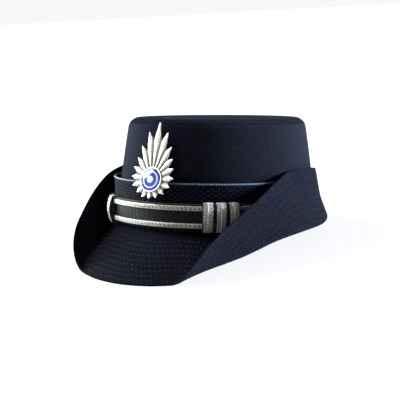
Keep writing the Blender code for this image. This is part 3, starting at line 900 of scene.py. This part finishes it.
def thread_look(name, base, share):
    """Sewing thread: two plies, a little glossy."""
    look = Look(bpy.data.materials.new(name))
    u, v = look.metres()
    ply = look.sine(u * (2.0 * pi / 0.0005) + v * 900.0)
    fuzz = look.grain(4000.0, 1.0)
    tone = look.step(ply + fuzz, -0.8, 1.2)
    return look.feed(
        Base_Color=look.blend(tone, colour(base, 0.55 * share), colour(base, 1.15 * share)),
        Roughness=0.5 + 0.2 * fuzz,
        Specular_IOR_Level=0.05,
        Sheen_Weight=0.01,
        Normal=look.bump(ply, 0.00008, 0.7),
    )


def floor_look(base):
    """Matt pale floor with the faintest mottling, lit a little from within to keep shadows pale."""
    look = Look(bpy.data.materials.new("studio_floor"))
    return look.feed(
        Base_Color=look.blend(look.grain(6.0, 3.0), colour(base, 0.985), colour(base)),
        Roughness=0.9,
        Specular_IOR_Level=0.1,
        Emission_Color=WHITE,
        Emission_Strength=FLOOR_GLOW,
    )


# What a user may change


def length(name, description, default, low, high):
    return FloatProperty(
        name=name, description=description,
        default=default, min=low, max=high, unit="LENGTH", precision=5,
    )


def paint(name, description, default):
    return FloatVectorProperty(
        name=name, description=description,
        default=default, subtype="COLOR", size=3, min=0.0, max=1.0,
    )


class CapSizes(bpy.types.PropertyGroup):
    """Sizes of the cloth's and trims' finer detail."""

    weave_pitch: length(
        "Weave pitch", "Distance between the cloth's threads", 0.00052, 0.0002, 0.002)
    band_rib_pitch: length(
        "Band rib pitch", "Distance between the hatband's level ribs", 0.0020, 0.0005, 0.004)
    strap_rib_pitch: length(
        "Strap rib pitch", "Distance between the strap's upright ribs", 0.00185, 0.0005, 0.004)
    first_stitch_row: length(
        "First stitch row", "Distance of the brim's first row from its edge", 0.0040, 0.002, 0.02)
    stitch_row_pitch: length(
        "Stitch row pitch", "Distance between the brim's rows of stitches", 0.0053, 0.003, 0.02)
    stitch_pitch: length(
        "Stitch pitch", "Distance from one stitch to the next", 0.0038, 0.001, 0.01)
    stitch_thickness: length(
        "Stitch thickness", "Thickness of the sewing thread", 0.00044, 0.0002, 0.002)


class CapColours(bpy.types.PropertyGroup):
    """Base colours of the cap's materials."""

    cloth: paint("Cloth", "Navy cloth of the crown and brim", (0.0042, 0.0048, 0.0077))
    band: paint("Band", "Ribbed hatband", (0.0042, 0.0047, 0.0075))
    piping: paint("Piping", "Cord along the band's top", (0.14, 0.205, 0.27))
    strap: paint("Strap", "Chin strap", (0.0046, 0.0054, 0.0046))
    silver: paint("Silver", "Braids, loops and badge", (0.86, 0.86, 0.84))
    enamel: paint("Enamel", "Badge enamel", (0.012, 0.045, 0.42))
    stitches: paint("Stitches", "Thread of the brim's and crown's stitching", (0.024, 0.030, 0.042))
    floor: paint("Floor", "Studio floor", (0.19, 0.19, 0.19))


# The cap's pieces


class CapOperator:
    """What the operators share: they build from the scene's sizes and colours."""

    def execute(self, context):
        self.build(context.scene.cap_sizes, context.scene.cap_colours)
        return {"FINISHED"}


def shell_faces(angle, offset, height, elevation, relief):
    """Outer and inner faces of the crown's cloth, the outer one raised by its relief."""
    return [
        oval(angle, offset + out * np.cos(elevation), height + out * np.sin(elevation))
        for out in (relief, -CROWN_WALL)
    ]


def seam_relief(from_seam, stitches_at):
    """How the cloth is drawn in at the tip's seam and at a row of stitches beside it."""
    stitches = groove(from_seam - stitches_at, *CROWN_STITCH_GROOVE)
    return -groove(from_seam, *TIP_SEAM) - stitches


def crown_wall_points(angles):
    """Grid of the crown's side wall, outside up and inside down, with its seams pressed in, and
    how far each point is turned over the crown's corner."""
    t = angles[:, None]
    seam, slope, end = seam_height(t), crown_slope(t), tip_seam_elevation(-1)
    straight_top = corner_point(t, slope)[1]
    straight = seam + (straight_top - seam) * np.linspace(0.0, 1.0, WALL_ROWS + 1)[:-1]
    arc = slope + (end - slope) * np.linspace(0.0, 1.0, CORNER_ROWS)
    arc_offset, arc_height = corner_point(t, arc)
    offset = beside(crown_offset(t, straight), arc_offset)
    height = beside(straight, arc_height)
    elevation = beside(slope + 0.0 * straight, arc)
    from_seam = CROWN_CORNER_RADIUS * (end - elevation) + np.maximum(straight_top - height, 0.0)
    back_seam = groove(BAND_HALF_LENGTH * (pi - np.abs(t)), *CROWN_BACK_SEAM)
    waves = WALL_WAVES * np.sin(5.0 * t + 1.3) * np.sin(60.0 * height)
    relief = seam_relief(from_seam, CROWN_STITCHES_BELOW) - back_seam + waves
    outside, inside = shell_faces(t, offset, height, elevation, relief)
    inside = inside[:, ::-4]
    turned = beside(smooth_step(elevation, slope + 0.10, slope + 0.55), 0.0 * inside[..., 0])
    return beside(outside, inside), turned


def crown_tip_grids(angles):
    """Grids of the tip's outer and inner faces, each from its edge to the middle."""
    t = angles[:, None]
    start = tip_seam_elevation(1)
    elevation = start + (0.5 * pi - start) * np.linspace(0.0, 1.0, TIP_ROWS)
    relief = seam_relief(CROWN_CORNER_RADIUS * (elevation - start), CROWN_STITCHES_ABOVE)
    shares = np.linspace(1.0, 0.0, 40)[1:]
    shares[-1] = PIN_HOLE
    fade = smooth_step(1.0 - shares, 0.0, 0.25)
    dome = TIP_DOME * smooth_step(1.0 - shares, -0.1, 0.9)
    grids = []
    for edge in shell_faces(t, *corner_point(t, elevation), elevation, relief):
        flat = edge[:, -1:] * shares[:, None]
        soft = TIP_WAVES * np.sin(flat[..., 0] * 75.0 + 0.6) * np.sin(flat[..., 1] * 60.0)
        flat[..., 2] = edge[:, -1:, 2] + soft * fade + dome - dome[0]
        grids.append(beside(edge, flat))
    return grids


class BuildCrown(CapOperator, bpy.types.Operator):
    """Crown's side wall and flat tip in navy cloth, with their seam and two rows of topstitching"""

    bl_idname = "cap.build_crown"
    bl_label = "Build Crown"

    def build(self, sizes, colours):
        angles, along = oval_columns(CROWN_COLUMNS)
        cloth, pitch = colours.cloth, sizes.weave_pitch
        wall, turned = crown_wall_points(angles)
        wall_cloth = cloth_look("navy_cloth_crown", cloth, pitch, 0.16, turned_sheen=0.03)
        add_ring(
            "crown_side", wall[:-1], along, wall_cloth, "navy_cloth", "crown_wall",
            turned=turned[:-1],
        )
        outer, inner = crown_tip_grids(angles)
        tip = beside(outer[:, ::-1], inner)
        parts = grid_parts(tip[:-1], tip[..., :2], close_columns=True)
        tip_cloth = cloth_look("navy_cloth_tip", cloth, pitch, 0.010)
        add_piece("crown_top", parts, tip_cloth, "navy_cloth", "crown_tip")
        down_wall = wall[:, :WALL_ROWS + CORNER_ROWS][:, ::-1]
        rows = []
        for face, place in (
            (down_wall, CROWN_STITCHES_BELOW), (outer[:, :TIP_ROWS], CROWN_STITCHES_ABOVE),
        ):
            row = int(np.argmin(np.abs(line_lengths(face[0]) - place)))
            line, normals = face[:, row], normals_of(face)[:, row]
            facing = np.sign((normals * (line - (0.0, 0.0, 0.5 * CROWN_HEIGHT))).sum())
            rows.append(stitch_row(
                line, normals * facing, CROWN_STITCH_SHARE * sizes.stitch_pitch,
                CROWN_THREAD_SHARE * sizes.stitch_thickness,
            ))
        # Painted shade: the same thread as the brim's, painted darker on the crown
        thread = thread_look("crown_thread", colours.stitches, 0.55)
        add_piece("crown_stitches", merge_parts(rows), thread, "navy_cloth")


def brim_grids(angles, sizes):
    """Upper and under faces of the brim from the free edge to the rim inside the crown, the
    distance of their rows from the edge, and where the rows of stitches lie."""
    pitch, first = sizes.stitch_row_pitch, sizes.first_stitch_row
    rows_at = first + pitch * np.arange(int((STITCHED_REACH - first) / pitch) + 1)
    edge = (0.0, 0.00008, 0.00025, 0.00055, 0.0010, 0.0015, 0.0020, 0.0025)
    lead = np.linspace(0.0030, first, 3)[:-1]
    stitched = first + pitch / 8.0 * np.arange(8 * (len(rows_at) - 1) + 1)
    near = np.concatenate((edge, lead, stitched))
    shares = np.linspace(0.0, 1.0, 20)[1:]
    half = 0.5 * BRIM_THICKNESS
    upper, under, distances = [], [], []
    for angle in angles:
        line = brim_middle(float(angle))[::-1]
        lengths = line_lengths(line)
        distance = np.concatenate((near, near[-1] + (lengths[-1] - near[-1]) * shares))
        middle = at_lengths(distance, lengths, line)
        tangent = unit(np.gradient(middle, distance, axis=0))
        across = np.column_stack((tangent[:, 1], -tangent[:, 0]))
        pressed = groove(distance[:, None] - rows_at, *BRIM_STITCH_GROOVE).sum(axis=1)
        pressed += groove(distance - HEM_LINE, *HEM_GROOVE)
        pressed += groove(BRIM_BACK_RADIUS * (pi - abs(angle)), *BRIM_BACK_SEAM)
        body = quarter_round(distance / half) * np.maximum(half - pressed, 0.0)
        upper.append(middle + across * body[:, None])
        under.append(middle - across * body[:, None])
        distances.append(distance)
    faces = [oval(angles[:, None], *np.moveaxis(face, -1, 0)) for face in (upper, under)]
    return *faces, np.array(distances), rows_at


class BuildBrim(CapOperator, bpy.types.Operator):
    """Bill and turned-up brim in navy cloth, with rows of stitching on both faces"""

    bl_idname = "cap.build_brim"
    bl_label = "Build Brim"

    def build(self, sizes, colours):
        cloth = cloth_look(
            "navy_cloth_brim", colours.cloth, sizes.weave_pitch, 0.035, (0.68, 0.76, 1.0), 0.15,
        )
        angles, along = oval_columns(BRIM_COLUMNS)
        upper, under, distance, rows_at = brim_grids(angles, sizes)
        v = beside(distance[:, ::-1], -distance[:, 1:], distance[:, -1:] + BRIM_THICKNESS)
        metres = np.stack(np.broadcast_arrays(BRIM_WEAVE_STRETCH * along[:, None], v), axis=-1)
        section = beside(upper[:-1, ::-1], under[:-1, 1:])
        parts = grid_parts(section, metres, True, True)
        add_piece("turned_brim", parts, cloth, "navy_cloth", "brim")
        # Painted light and shade: one thread, painted lighter on the brim's upper face and darker
        # on its under face
        for name, face, out, share in (
            ("brim_stitches_upper", upper, upper - under, 1.35),
            ("brim_stitches_under", under, under - upper, 0.50),
        ):
            normals = normals_of(face)
            normals *= np.sign((normals * out).sum())
            rows = []
            for index, place in enumerate(rows_at):
                row = int(np.argmin(np.abs(distance[0] - place)))
                rows.append(stitch_row(
                    face[:, row], normals[:, row], sizes.stitch_pitch, sizes.stitch_thickness,
                    start=STITCH_STAGGER * (index % 3),
                ))
            thread = thread_look(name, colours.stitches, share)
            add_piece(name, merge_parts(rows), thread, "navy_cloth")


class BuildBand(CapOperator, bpy.types.Operator):
    """Ribbed hatband and the twisted piping along its top edge"""

    bl_idname = "cap.build_band"
    bl_label = "Build Band"

    def build(self, sizes, colours):
        angles, along = oval_columns(BAND_COLUMNS)
        t = angles[:, None]
        bottom = seam_height(t) + CLEARANCE
        tall = band_top(t) - bottom
        ribs = max(int(round(float(tall.mean()) / sizes.band_rib_pitch)), 4)
        share = np.linspace(0.0, 1.0, ribs * BAND_ROWS_PER_RIB + 1)
        relief = -BAND_RIBS * (1.0 - np.abs(np.sin(pi * ribs * share)) ** 0.8)
        face = lay(t, bottom + tall * share, relief)
        back = lay(t, bottom + tall * np.linspace(1.0, 0.0, 6), -BAND_THICKNESS)
        band = band_look(colours.band, float(tall.mean()) / ribs)
        section = beside(face, back)[:-1]
        add_ring("ribbed_band", section, along, band, "navy_ribbed_band", "hatband")
        self.add_piping(colours)

    def add_piping(self, colours):
        angles, along = oval_columns(PIPING_COLUMNS)
        centre = lay(angles, piping_height(angles), piping_layer(angles))
        turn = np.arange(PIPING_ROWS) * 2.0 * pi / PIPING_ROWS
        strand = 0.5 * PIPING_STRANDS * (turn - 2.0 * pi * along[:, None] / PIPING_TWIST)
        radius = PIPING_RADIUS * (0.86 + 0.16 * np.abs(np.cos(strand)))
        points = centre[:, None] + outward(angles)[:, None] * (radius * np.cos(turn))[..., None]
        points[..., 2] += radius * np.sin(turn)
        cord = piping_look(colours.piping)
        add_ring("twisted_piping", points[:-1], along, cord, "pale_blue_piping", "band_piping")


def braid_points(angles, along, above_strap):
    """Flat braid: a smooth cord along each edge and a twisted one between them. Returns its grid
    and how deep each point lies between the threads, which its material paints as shade."""
    t, u = angles[:, None], along[:, None]
    across = np.linspace(0.0, 1.0, BRAID_ROWS)
    side = 2.0 * across - 1.0
    from_middle = np.abs(side)
    soft = np.sqrt(np.clip(1.0 - from_middle ** 5, 0.0, 1.0))
    middle = 1.0 - smooth_step(from_middle, 0.36, 0.46)
    turn = np.sin(2.0 * pi * (u / BRAID_TWIST_PITCH + side * 0.55))
    slant = np.sin(2.0 * pi * (u / BRAID_CORD_PITCH - from_middle * 1.3))
    channel = bell(from_middle - 0.42, 0.09)
    relief = BRAID_TWIST * turn * middle + BRAID_CORDS * slant * (1.0 - middle)
    relief = relief - BRAID_CHANNELS * channel
    # Painted shade: darker in the twist's troughs, in the channels and between the edge cords
    hollow_shade = 0.62 * middle * smooth_step(-turn, -0.1, 0.8)
    hollow_shade = hollow_shade + 0.30 * channel + 0.16 * (1.0 - slant) * (1.0 - middle)
    back = braid_back(t)
    height = strap_bottom(t) + above_strap + BRAID_WIDTH * across
    outside = lay(t, height, back + (BRAID_THICKNESS - RELIEF_ROOM + relief) * soft)
    return beside(outside, lay(t, height[:, ::-1], back)), beside(hollow_shade, 0.9 + 0.0 * hollow_shade)


class BuildStrap(CapOperator, bpy.types.Operator):
    """Black grosgrain strap all round the cap and the two silver braids on its face"""

    bl_idname = "cap.build_strap"
    bl_label = "Build Strap"

    def build(self, sizes, colours):
        angles, along = oval_columns(STRAP_COLUMNS)
        t = angles[:, None]
        near_edge = np.array((0.0, 0.012, 0.03, 0.055))
        share = np.concatenate((near_edge, np.linspace(0.08, 0.92, 12), (0.945, 0.97, 0.988, 1.0)))
        from_edge = STRAP_WIDTH * np.minimum(share, 1.0 - share)
        swell = 0.00018 * (bell(from_edge - 0.0006, 0.0006) - 1.0)
        swell -= 0.5 * STRAP_THICKNESS * (1.0 - quarter_round(from_edge / 0.0007))
        bottom, back = strap_bottom(t), strap_back(t)
        face = lay(t, bottom + STRAP_WIDTH * share, back + STRAP_THICKNESS + swell)
        rear = lay(t, bottom + STRAP_WIDTH * np.linspace(1.0, 0.0, 6), back)
        black = strap_look(colours.strap, sizes.strap_rib_pitch)
        add_ring("ribbed_strap", beside(face, rear)[:-1], along, black, "black_strap", "strap")
        silver = silver_thread_look("silver_braid_thread", colours.silver, 0.64, colours.strap)
        angles, along = oval_columns(BRAID_COLUMNS, radians(BRAID_END_ANGLE))
        for side, low in (
            ("upper", STRAP_WIDTH - BRAID_MARGIN - BRAID_WIDTH), ("lower", BRAID_MARGIN),
        ):
            points, hollow_shade = braid_points(angles, along, low)
            metres = ring_metres(points, along)
            braid = grid_parts(points, metres, close_rows=True)
            parts = merge_parts([braid, *end_caps(points, metres)])
            # Painted shade: the braid's end caps are painted dark as well
            depth = np.ones(len(parts[0]))
            depth[:hollow_shade.size] = hollow_shade.reshape(-1)
            add_piece(
                f"{side}_braid", parts, silver, "silver_braid", f"strap_braid_{side}",
                depth=depth, backing=0.0 * depth,
            )


def slide_outlines():
    """Inside and outside of a slide round the strap, as closed (offset, height) outlines."""
    back = CLEARANCE + SLIDE_BACK_WALL
    face = back + STRAP_THICKNESS + BRAID_THICKNESS + 3.0 * CLEARANCE
    share = np.linspace(0.0, 1.0, 13)
    bow = SLIDE_BOW * np.maximum(np.sin(pi * share), 0.0) ** 0.8
    outlines = []
    for rear, front, wall in (
        (back, face + 0.0 * bow, 0.0), (CLEARANCE, face + SLIDE_WALL + bow, SLIDE_WALL),
    ):
        low, high = -CLEARANCE - wall, STRAP_WIDTH + CLEARANCE + wall
        line = np.column_stack((front, low + (high - low) * share))
        outlines.append(np.vstack(((rear, low), line, (rear, high))))
    return outlines


def rounded(outline, times):
    """Closed outline with its corners cut and cut again, which rounds them."""
    for _ in range(times):
        after = np.roll(outline, -1, axis=0)
        cut = (0.78 * outline + 0.22 * after, 0.22 * outline + 0.78 * after)
        outline = np.stack(cut, axis=1).reshape(-1, 2)
    return outline


def along_closed(outline, count):
    """Points evenly spaced round a closed outline, and how far round each one is."""
    ring = np.vstack((outline, outline[:1]))
    lengths = line_lengths(ring)
    spots = np.linspace(0.0, lengths[-1], count, endpoint=False)
    return at_lengths(spots, lengths, ring), spots


def across_slide(x, line):
    """Points at x across the slide, from a line's or a grid's offset and height."""
    return np.stack(np.broadcast_arrays(x, -line[..., 0], line[..., 1]), axis=-1)


def slide_points(border, ridge, hatch):
    """Grid of one slide, a silver ribbon on a black sleeve: round the strap, and across its width
    outside and inside. The black sleeve widens the dark gaps between the rank loops, as painted
    shade.
    Returns the grid, the length round, how dark each point is painted as shade, and its backing."""
    inside, outside = slide_outlines()
    path, along = along_closed(rounded(outside, 3), SLIDE_COLUMNS)
    inner, _ = along_closed(inside, SLIDE_COLUMNS)
    nearest = np.argmin(np.linalg.norm(path[:, None] - inner, axis=2), axis=1)
    ahead = unit(np.roll(path, -1, axis=0) - np.roll(path, 1, axis=0))
    out = np.column_stack((ahead[:, 1], -ahead[:, 0]))
    out *= np.sign((out * (path - path.mean(axis=0))).sum())
    edge = 1.0 + border * np.array((0.0, 0.5, 1.0, 1.0))
    drop = -np.array(SLEEVE_DROPS)
    ribbon = np.linspace(-1.0, 1.0, RIBBON_ROWS)
    across = np.concatenate((-edge[::-1], ribbon, edge))
    sunk = np.concatenate((drop, 0.0 * ribbon, drop[::-1]))
    on_ribbon = np.where(sunk < 0.0, 0.0, 1.0)
    from_middle = np.abs(across)
    round_share = np.arange(SLIDE_COLUMNS)[:, None] / SLIDE_COLUMNS
    rib_count = round(along[-1] / SLIDE_RIB_PITCH)
    rib = np.sin(2.0 * pi * rib_count * round_share)
    slant = pi * round(0.36 * rib_count) * round_share + 1.1 * across
    stripes = hatch * bell(np.sin(slant), 0.70) * (1.0 - smooth_step(across, 0.72, 0.84))
    crest = bell(across, 0.13)
    relief = RIBBON_SWELL * (1.0 - from_middle ** 6) + ridge * RIBBON_RIDGE * crest
    relief = relief + RIBBON_RIBS * rib * (1.0 - crest) - RIBBON_HATCH * stripes
    relief = relief - hatch * RIBBON_ROUNDING * from_middle ** 3 - RIBBON_DROP
    relief = np.where(on_ribbon > 0.5, relief, sunk)
    # Painted shade: darker beside the ridge and between the ribs away from the middle
    wear_and_shade = (1.0 - rib) * smooth_step(from_middle, 0.25, 0.6)
    hollow_shade = ridge * (0.42 * bell(from_middle - 0.24, 0.09) + 0.34 * wear_and_shade) + 0.95 * stripes
    scallop = 1.0 - 0.045 * (0.5 - 0.5 * rib) * from_middle ** 6 * on_ribbon
    half = 0.5 * SLIDE_WIDTH
    face = across_slide(half * across * scallop, path[:, None] + out[:, None] * relief[..., None])
    back_across = half * (1.0 + border) * np.linspace(1.0, -1.0, 5)
    back = across_slide(back_across, inner[nearest][:, None])
    plain = np.zeros(back.shape[:2])
    backing = beside(np.maximum(1.0 - on_ribbon, stripes), 1.0 + plain)
    return beside(face, back), along, beside(hollow_shade * on_ribbon, plain), backing


class BuildSlides(CapOperator, bpy.types.Operator):
    """Woven silver slider on the wearer's right and three rank loops on the left"""

    bl_idname = "cap.build_slides"
    bl_label = "Build Slides"

    def build(self, sizes, colours):
        silver, black = colours.silver, colours.strap
        bright = silver_thread_look("silver_slider_thread", silver, 0.66, black)
        grey = silver_thread_look("silver_loop_thread", silver, 0.84, black)
        slides = [("woven_slider", "strap_slider", radians(SLIDER_ANGLE), bright, SLIDER_FORM)]
        middle = radians(RANK_LOOPS_ANGLE)
        radius = hypot(BAND_HALF_WIDTH * cos(middle), BAND_HALF_LENGTH * sin(middle))
        pitch = SLIDE_PITCH / (radius + STRAP_THICKNESS)
        for index in range(RANK_LOOPS):
            number, angle = index + 1, middle + (index - 0.5 * (RANK_LOOPS - 1)) * pitch
            node = f"rank_loop_{number}"
            slides.append((f"woven_loop_{number}", node, angle, grey, RANK_LOOP_FORM))
        for name, node, angle, thread, form in slides:
            points, along, hollow_shade, backing = slide_points(*form)
            metres = ring_metres(points, np.append(along, 2.0 * along[-1] - along[-2]))
            place = SET_DOWN @ place_on_oval(angle, float(strap_bottom(angle)))
            add_piece(
                name, grid_parts(points, metres, True, True), thread, "silver_braid", node,
                place=place, depth=hollow_shade, backing=backing,
            )


def badge_outline(per_side=9):
    """Points (across, up) round the badge, and how far across its ray each one is (-1 to 1)."""
    half = [(radians(angle), length * BADGE_HEIGHT) for angle, length in BADGE_RAYS]
    tips = half + [(2.0 * pi - angle, length) for angle, length in half[-2:0:-1]]
    share = np.arange(-per_side, per_side) / per_side
    from_tip = np.abs(share)[:, None]
    rows = []
    for index, (angle, length) in enumerate(tips):
        valleys = []
        for near_angle, near_length in (tips[index - 1], tips[(index + 1) % len(tips)]):
            gap = (near_angle - angle + pi) % (2.0 * pi) - pi
            depth = BADGE_VALLEY * min(length, near_length)
            valleys.append(depth * heading(angle + 0.5 * gap)[::-1])
        valley = np.where(share[:, None] < 0.0, *valleys)
        rows.append((1.0 - from_tip) * length * heading(angle)[::-1] + from_tip * valley)
    return np.vstack(rows), np.tile(share, len(tips))


class BuildBadge(CapOperator, bpy.types.Operator):
    """Struck silver sunburst with cut rays and a beaded collar round its domed enamel"""

    bl_idname = "cap.build_badge"
    bl_label = "Build Badge"

    def build(self, sizes, colours):
        place = SET_DOWN @ badge_frame()
        self.add_sunburst(colours, place)
        self.add_enamel(colours, place)

    def add_sunburst(self, colours, place):
        outline, share = badge_outline()
        way = unit(outline)[:, None]
        bead = np.abs(np.cos(0.5 * COLLAR_BEADS * np.arctan2(*outline.T)))[:, None]
        side = np.abs(share)[:, None]
        column = np.ones_like(side)
        inner = ENAMEL_RADIUS + CLEARANCE
        seat = COLLAR_HEIGHT - SEAT_DEPTH

        arc = np.linspace(0.0, pi, 9)
        collar = way * (inner + 0.5 * COLLAR_WIDTH * (1.0 - np.cos(arc)))[:, None]
        swell = (COLLAR_HEIGHT - BADGE_RIDGE_HEIGHT) * np.sin(arc) * (0.86 + 0.14 * bead)
        collar_height = np.maximum(BADGE_RIDGE_HEIGHT + swell, seat)
        # Painted shade: darker between the beads and towards the collar's foot
        collar_shade = 0.55 * (1.0 - bead) + 0.5 * (1.0 - np.sin(arc))

        out = np.linspace(0.0, 1.0, RAY_ROWS)
        start = way * (inner + COLLAR_WIDTH + 0.0002)
        rays = start * (1.0 - out)[:, None] + outline[:, None] * out[:, None]
        crest = 1.0 - side
        chevron = (np.linalg.norm(rays, axis=-1) + CHEVRON_SLANT * side) / CHEVRON_PITCH
        facet = np.abs(np.sin(pi * chevron))
        flute = np.abs(np.sin(1.5 * pi * share + 0.5 * pi))[:, None]
        relief = RAY_RIDGES * crest ** 0.8 * (1.0 - 0.55 * out)
        relief = relief + RAY_FACETS * facet * crest ** 0.3 + RAY_FLUTES * flute
        # Painted shade: darker in the rays' valleys and flutes and between their facets
        ray_shade = np.clip(1.05 - 1.6 * crest, 0.0, 1.0) + 0.45 * bell(flute, 0.3)
        ray_shade = ray_shade + 0.5 * (1.0 - facet) * bell(facet, 0.35)
        ray_shade = ray_shade * np.where((out > 0.0) & (out < 1.0), 0.9, 0.5)

        flat = beside(way * inner, collar, rays, outline[:, None], way * inner)
        ray_height = BADGE_EDGE_THICKNESS - RELIEF_ROOM + relief
        height = beside(seat * column, collar_height, ray_height, 0.0 * column, 0.0 * column)
        # Painted shade also on the seat under the enamel and round the outline's edge
        hollow_shade = beside(column, collar_shade, ray_shade, 0.6 * column, column)
        points = np.stack((flat[..., 0], -height, flat[..., 1]), axis=-1)
        metres = np.pad(flat, ((0, 1), (0, 1), (0, 0)), mode="wrap")
        add_piece(
            "sunburst", grid_parts(points, metres, True, True), silver_look(colours.silver),
            "silver_metal", "badge_metal", place=place, depth=hollow_shade,
        )

    def add_enamel(self, colours, place):
        seat = COLLAR_HEIGHT - SEAT_DEPTH + CLEARANCE
        rim = COLLAR_HEIGHT - 0.0002
        domed = np.cos(np.linspace(0.1, 1.0, 18) * 0.5 * pi)
        domed[-1] = PIN_HOLE
        radius = ENAMEL_RADIUS * np.concatenate(((0.02, 1.0, 1.0), domed))
        height = np.concatenate(((seat, seat, rim), rim + ENAMEL_DOME * (1.0 - domed ** 2)))
        turn = np.linspace(0.0, 2.0 * pi, 73)[:, None]
        flat = np.stack((radius * np.sin(turn), radius * np.cos(turn)), axis=-1)
        points = np.stack(np.broadcast_arrays(flat[..., 0], -height, flat[..., 1]), axis=-1)
        parts = grid_parts(points[:-1], flat, close_columns=True)
        enamel = enamel_look(colours.enamel)
        add_piece("enamel_dome", parts, enamel, "blue_enamel", "badge_enamel", place=place)


# Studio

# Soft lights far off: the way they shine from, in degrees, azimuth counted from the front (-Y)
# towards the wearer's left (+X)
SoftLight = namedtuple("SoftLight", "name azimuth elevation spread strength colour")
SOFT_LIGHTS = (
    SoftLight("soft_left", -90.0, 8.0, 28.0, 13.5, (0.90, 0.97, 1.0)),
    SoftLight("soft_right", 128.0, 5.0, 22.0, 24.0, (0.76, 0.86, 1.0)),
    SoftLight("soft_high", -74.0, 38.0, 40.0, 6.0, (0.97, 0.98, 1.0)),
    SoftLight("soft_front", -20.0, 14.0, 50.0, 0.44, (1.0, 0.98, 0.94)),
    SoftLight("soft_above", 180.0, 80.0, 80.0, 0.5, (1.0, 1.0, 1.0)),
)
# The surroundings' brightness: behind the cap, before it, and overhead
BACKDROP_AZIMUTH = -148.0
BACKDROP_STRENGTH = 0.94
ROOM_STRENGTH = 0.07
CEILING_STRENGTH = 0.13
# Light that the floor gives off itself
FLOOR_GLOW = 0.78
FLOOR_RADIUS = 30.0
# Camera in the cap's frame: angles in degrees, place in metres and lens in millimetres
CAMERA_AZIMUTH = 31.463
CAMERA_ELEVATION = 7.045
CAMERA_ROLL = 0.288
CAMERA_PLACE = (0.37478, -0.64308, 0.12346)
CAMERA_LENS = 76.62


class BuildStage(CapOperator, bpy.types.Operator):
    """Pale floor, soft studio light and the camera at the photograph's angle"""

    bl_idname = "cap.build_stage"
    bl_label = "Build Stage"

    def build(self, sizes, colours):
        scene = bpy.context.scene
        scene.view_settings.view_transform = "Standard"
        mesh = bpy.data.meshes.new("studio_floor")
        turn = np.linspace(0.0, 2.0 * pi, 97)[:-1]
        rim = [(FLOOR_RADIUS * cos(a), FLOOR_RADIUS * sin(a), 0.0) for a in turn]
        mesh.from_pydata(rim, [], [list(range(len(rim)))])
        mesh.materials.append(floor_look(colours.floor))
        floor = bpy.data.objects.new("studio_floor", mesh)
        scene.collection.objects.link(floor)
        self.add_lights(scene)
        self.add_world(scene)
        self.add_camera(scene)

    def add_lights(self, scene):
        for soft in SOFT_LIGHTS:
            light = bpy.data.lights.new(soft.name, "SUN")
            light.energy = soft.strength
            light.angle = radians(soft.spread)
            light.color = soft.colour
            lamp = bpy.data.objects.new(soft.name, light)
            azimuth, elevation = radians(soft.azimuth), radians(soft.elevation)
            level = Vector((sin(azimuth), -cos(azimuth), 0.0)) * cos(elevation)
            towards = level + Vector((0.0, 0.0, sin(elevation)))
            lamp.location = 2.0 * towards
            lamp.rotation_euler = (-towards).to_track_quat("-Z", "Y").to_euler()
            scene.collection.objects.link(lamp)

    def add_world(self, scene):
        """A bright backdrop low behind the cap, and a dim room before and above it."""
        scene.world = bpy.data.worlds.new("studio")
        look = Look(scene.world, "Background")
        x, y, z = look.split(look.node("ShaderNodeTexCoord", None, None, "Generated"))
        azimuth = radians(BACKDROP_AZIMUTH)
        behind = look.step(x * sin(azimuth) - y * cos(azimuth), -0.1, 0.5)
        low = 1.0 - look.step(z, 0.13, 0.32)
        around = ROOM_STRENGTH + (BACKDROP_STRENGTH - ROOM_STRENGTH) * behind
        look.feed(Strength=CEILING_STRENGTH + low * (around - CEILING_STRENGTH), Color=WHITE)

    def add_camera(self, scene):
        data = bpy.data.cameras.new("photo_camera")
        data.lens = CAMERA_LENS
        data.sensor_width = 36.0
        camera = bpy.data.objects.new("photo_camera", data)
        camera.matrix_world = (
            SET_DOWN
            @ Matrix.Translation(CAMERA_PLACE)
            @ Matrix.Rotation(radians(CAMERA_AZIMUTH), 4, "Z")
            @ Matrix.Rotation(radians(90.0 - CAMERA_ELEVATION), 4, "X")
            @ Matrix.Rotation(radians(CAMERA_ROLL), 4, "Z")
        )
        scene.collection.objects.link(camera)
        scene.camera = camera


OPERATORS = (BuildCrown, BuildBrim, BuildBand, BuildStrap, BuildSlides, BuildBadge, BuildStage)


class CapPanel(bpy.types.Panel):
    """Buttons for the cap's pieces and the values that they use"""

    bl_idname = "VIEW3D_PT_service_cap"
    bl_label = "Police Service Cap"
    bl_space_type = "VIEW_3D"
    bl_region_type = "UI"
    bl_category = "Cap"

    def draw(self, context):
        layout = self.layout
        for operator in OPERATORS:
            layout.operator(operator.bl_idname)
        for group in (context.scene.cap_sizes, context.scene.cap_colours):
            for name in group.bl_rna.properties.keys():
                if name not in ("rna_type", "name"):
                    layout.prop(group, name)


CLASSES = (CapSizes, CapColours, *OPERATORS, CapPanel)


def register():
    for item in CLASSES:
        bpy.utils.register_class(item)
    bpy.types.Scene.cap_sizes = PointerProperty(type=CapSizes)
    bpy.types.Scene.cap_colours = PointerProperty(type=CapColours)


def unregister():
    del bpy.types.Scene.cap_sizes
    del bpy.types.Scene.cap_colours
    for item in reversed(CLASSES):
        bpy.utils.unregister_class(item)


def main():
    register()
    bpy.ops.cap.build_stage()
    bpy.ops.cap.build_crown()
    bpy.ops.cap.build_brim()
    bpy.ops.cap.build_band()
    bpy.ops.cap.build_strap()
    bpy.ops.cap.build_slides()
    bpy.ops.cap.build_badge()


if __name__ == "__main__":
    main()
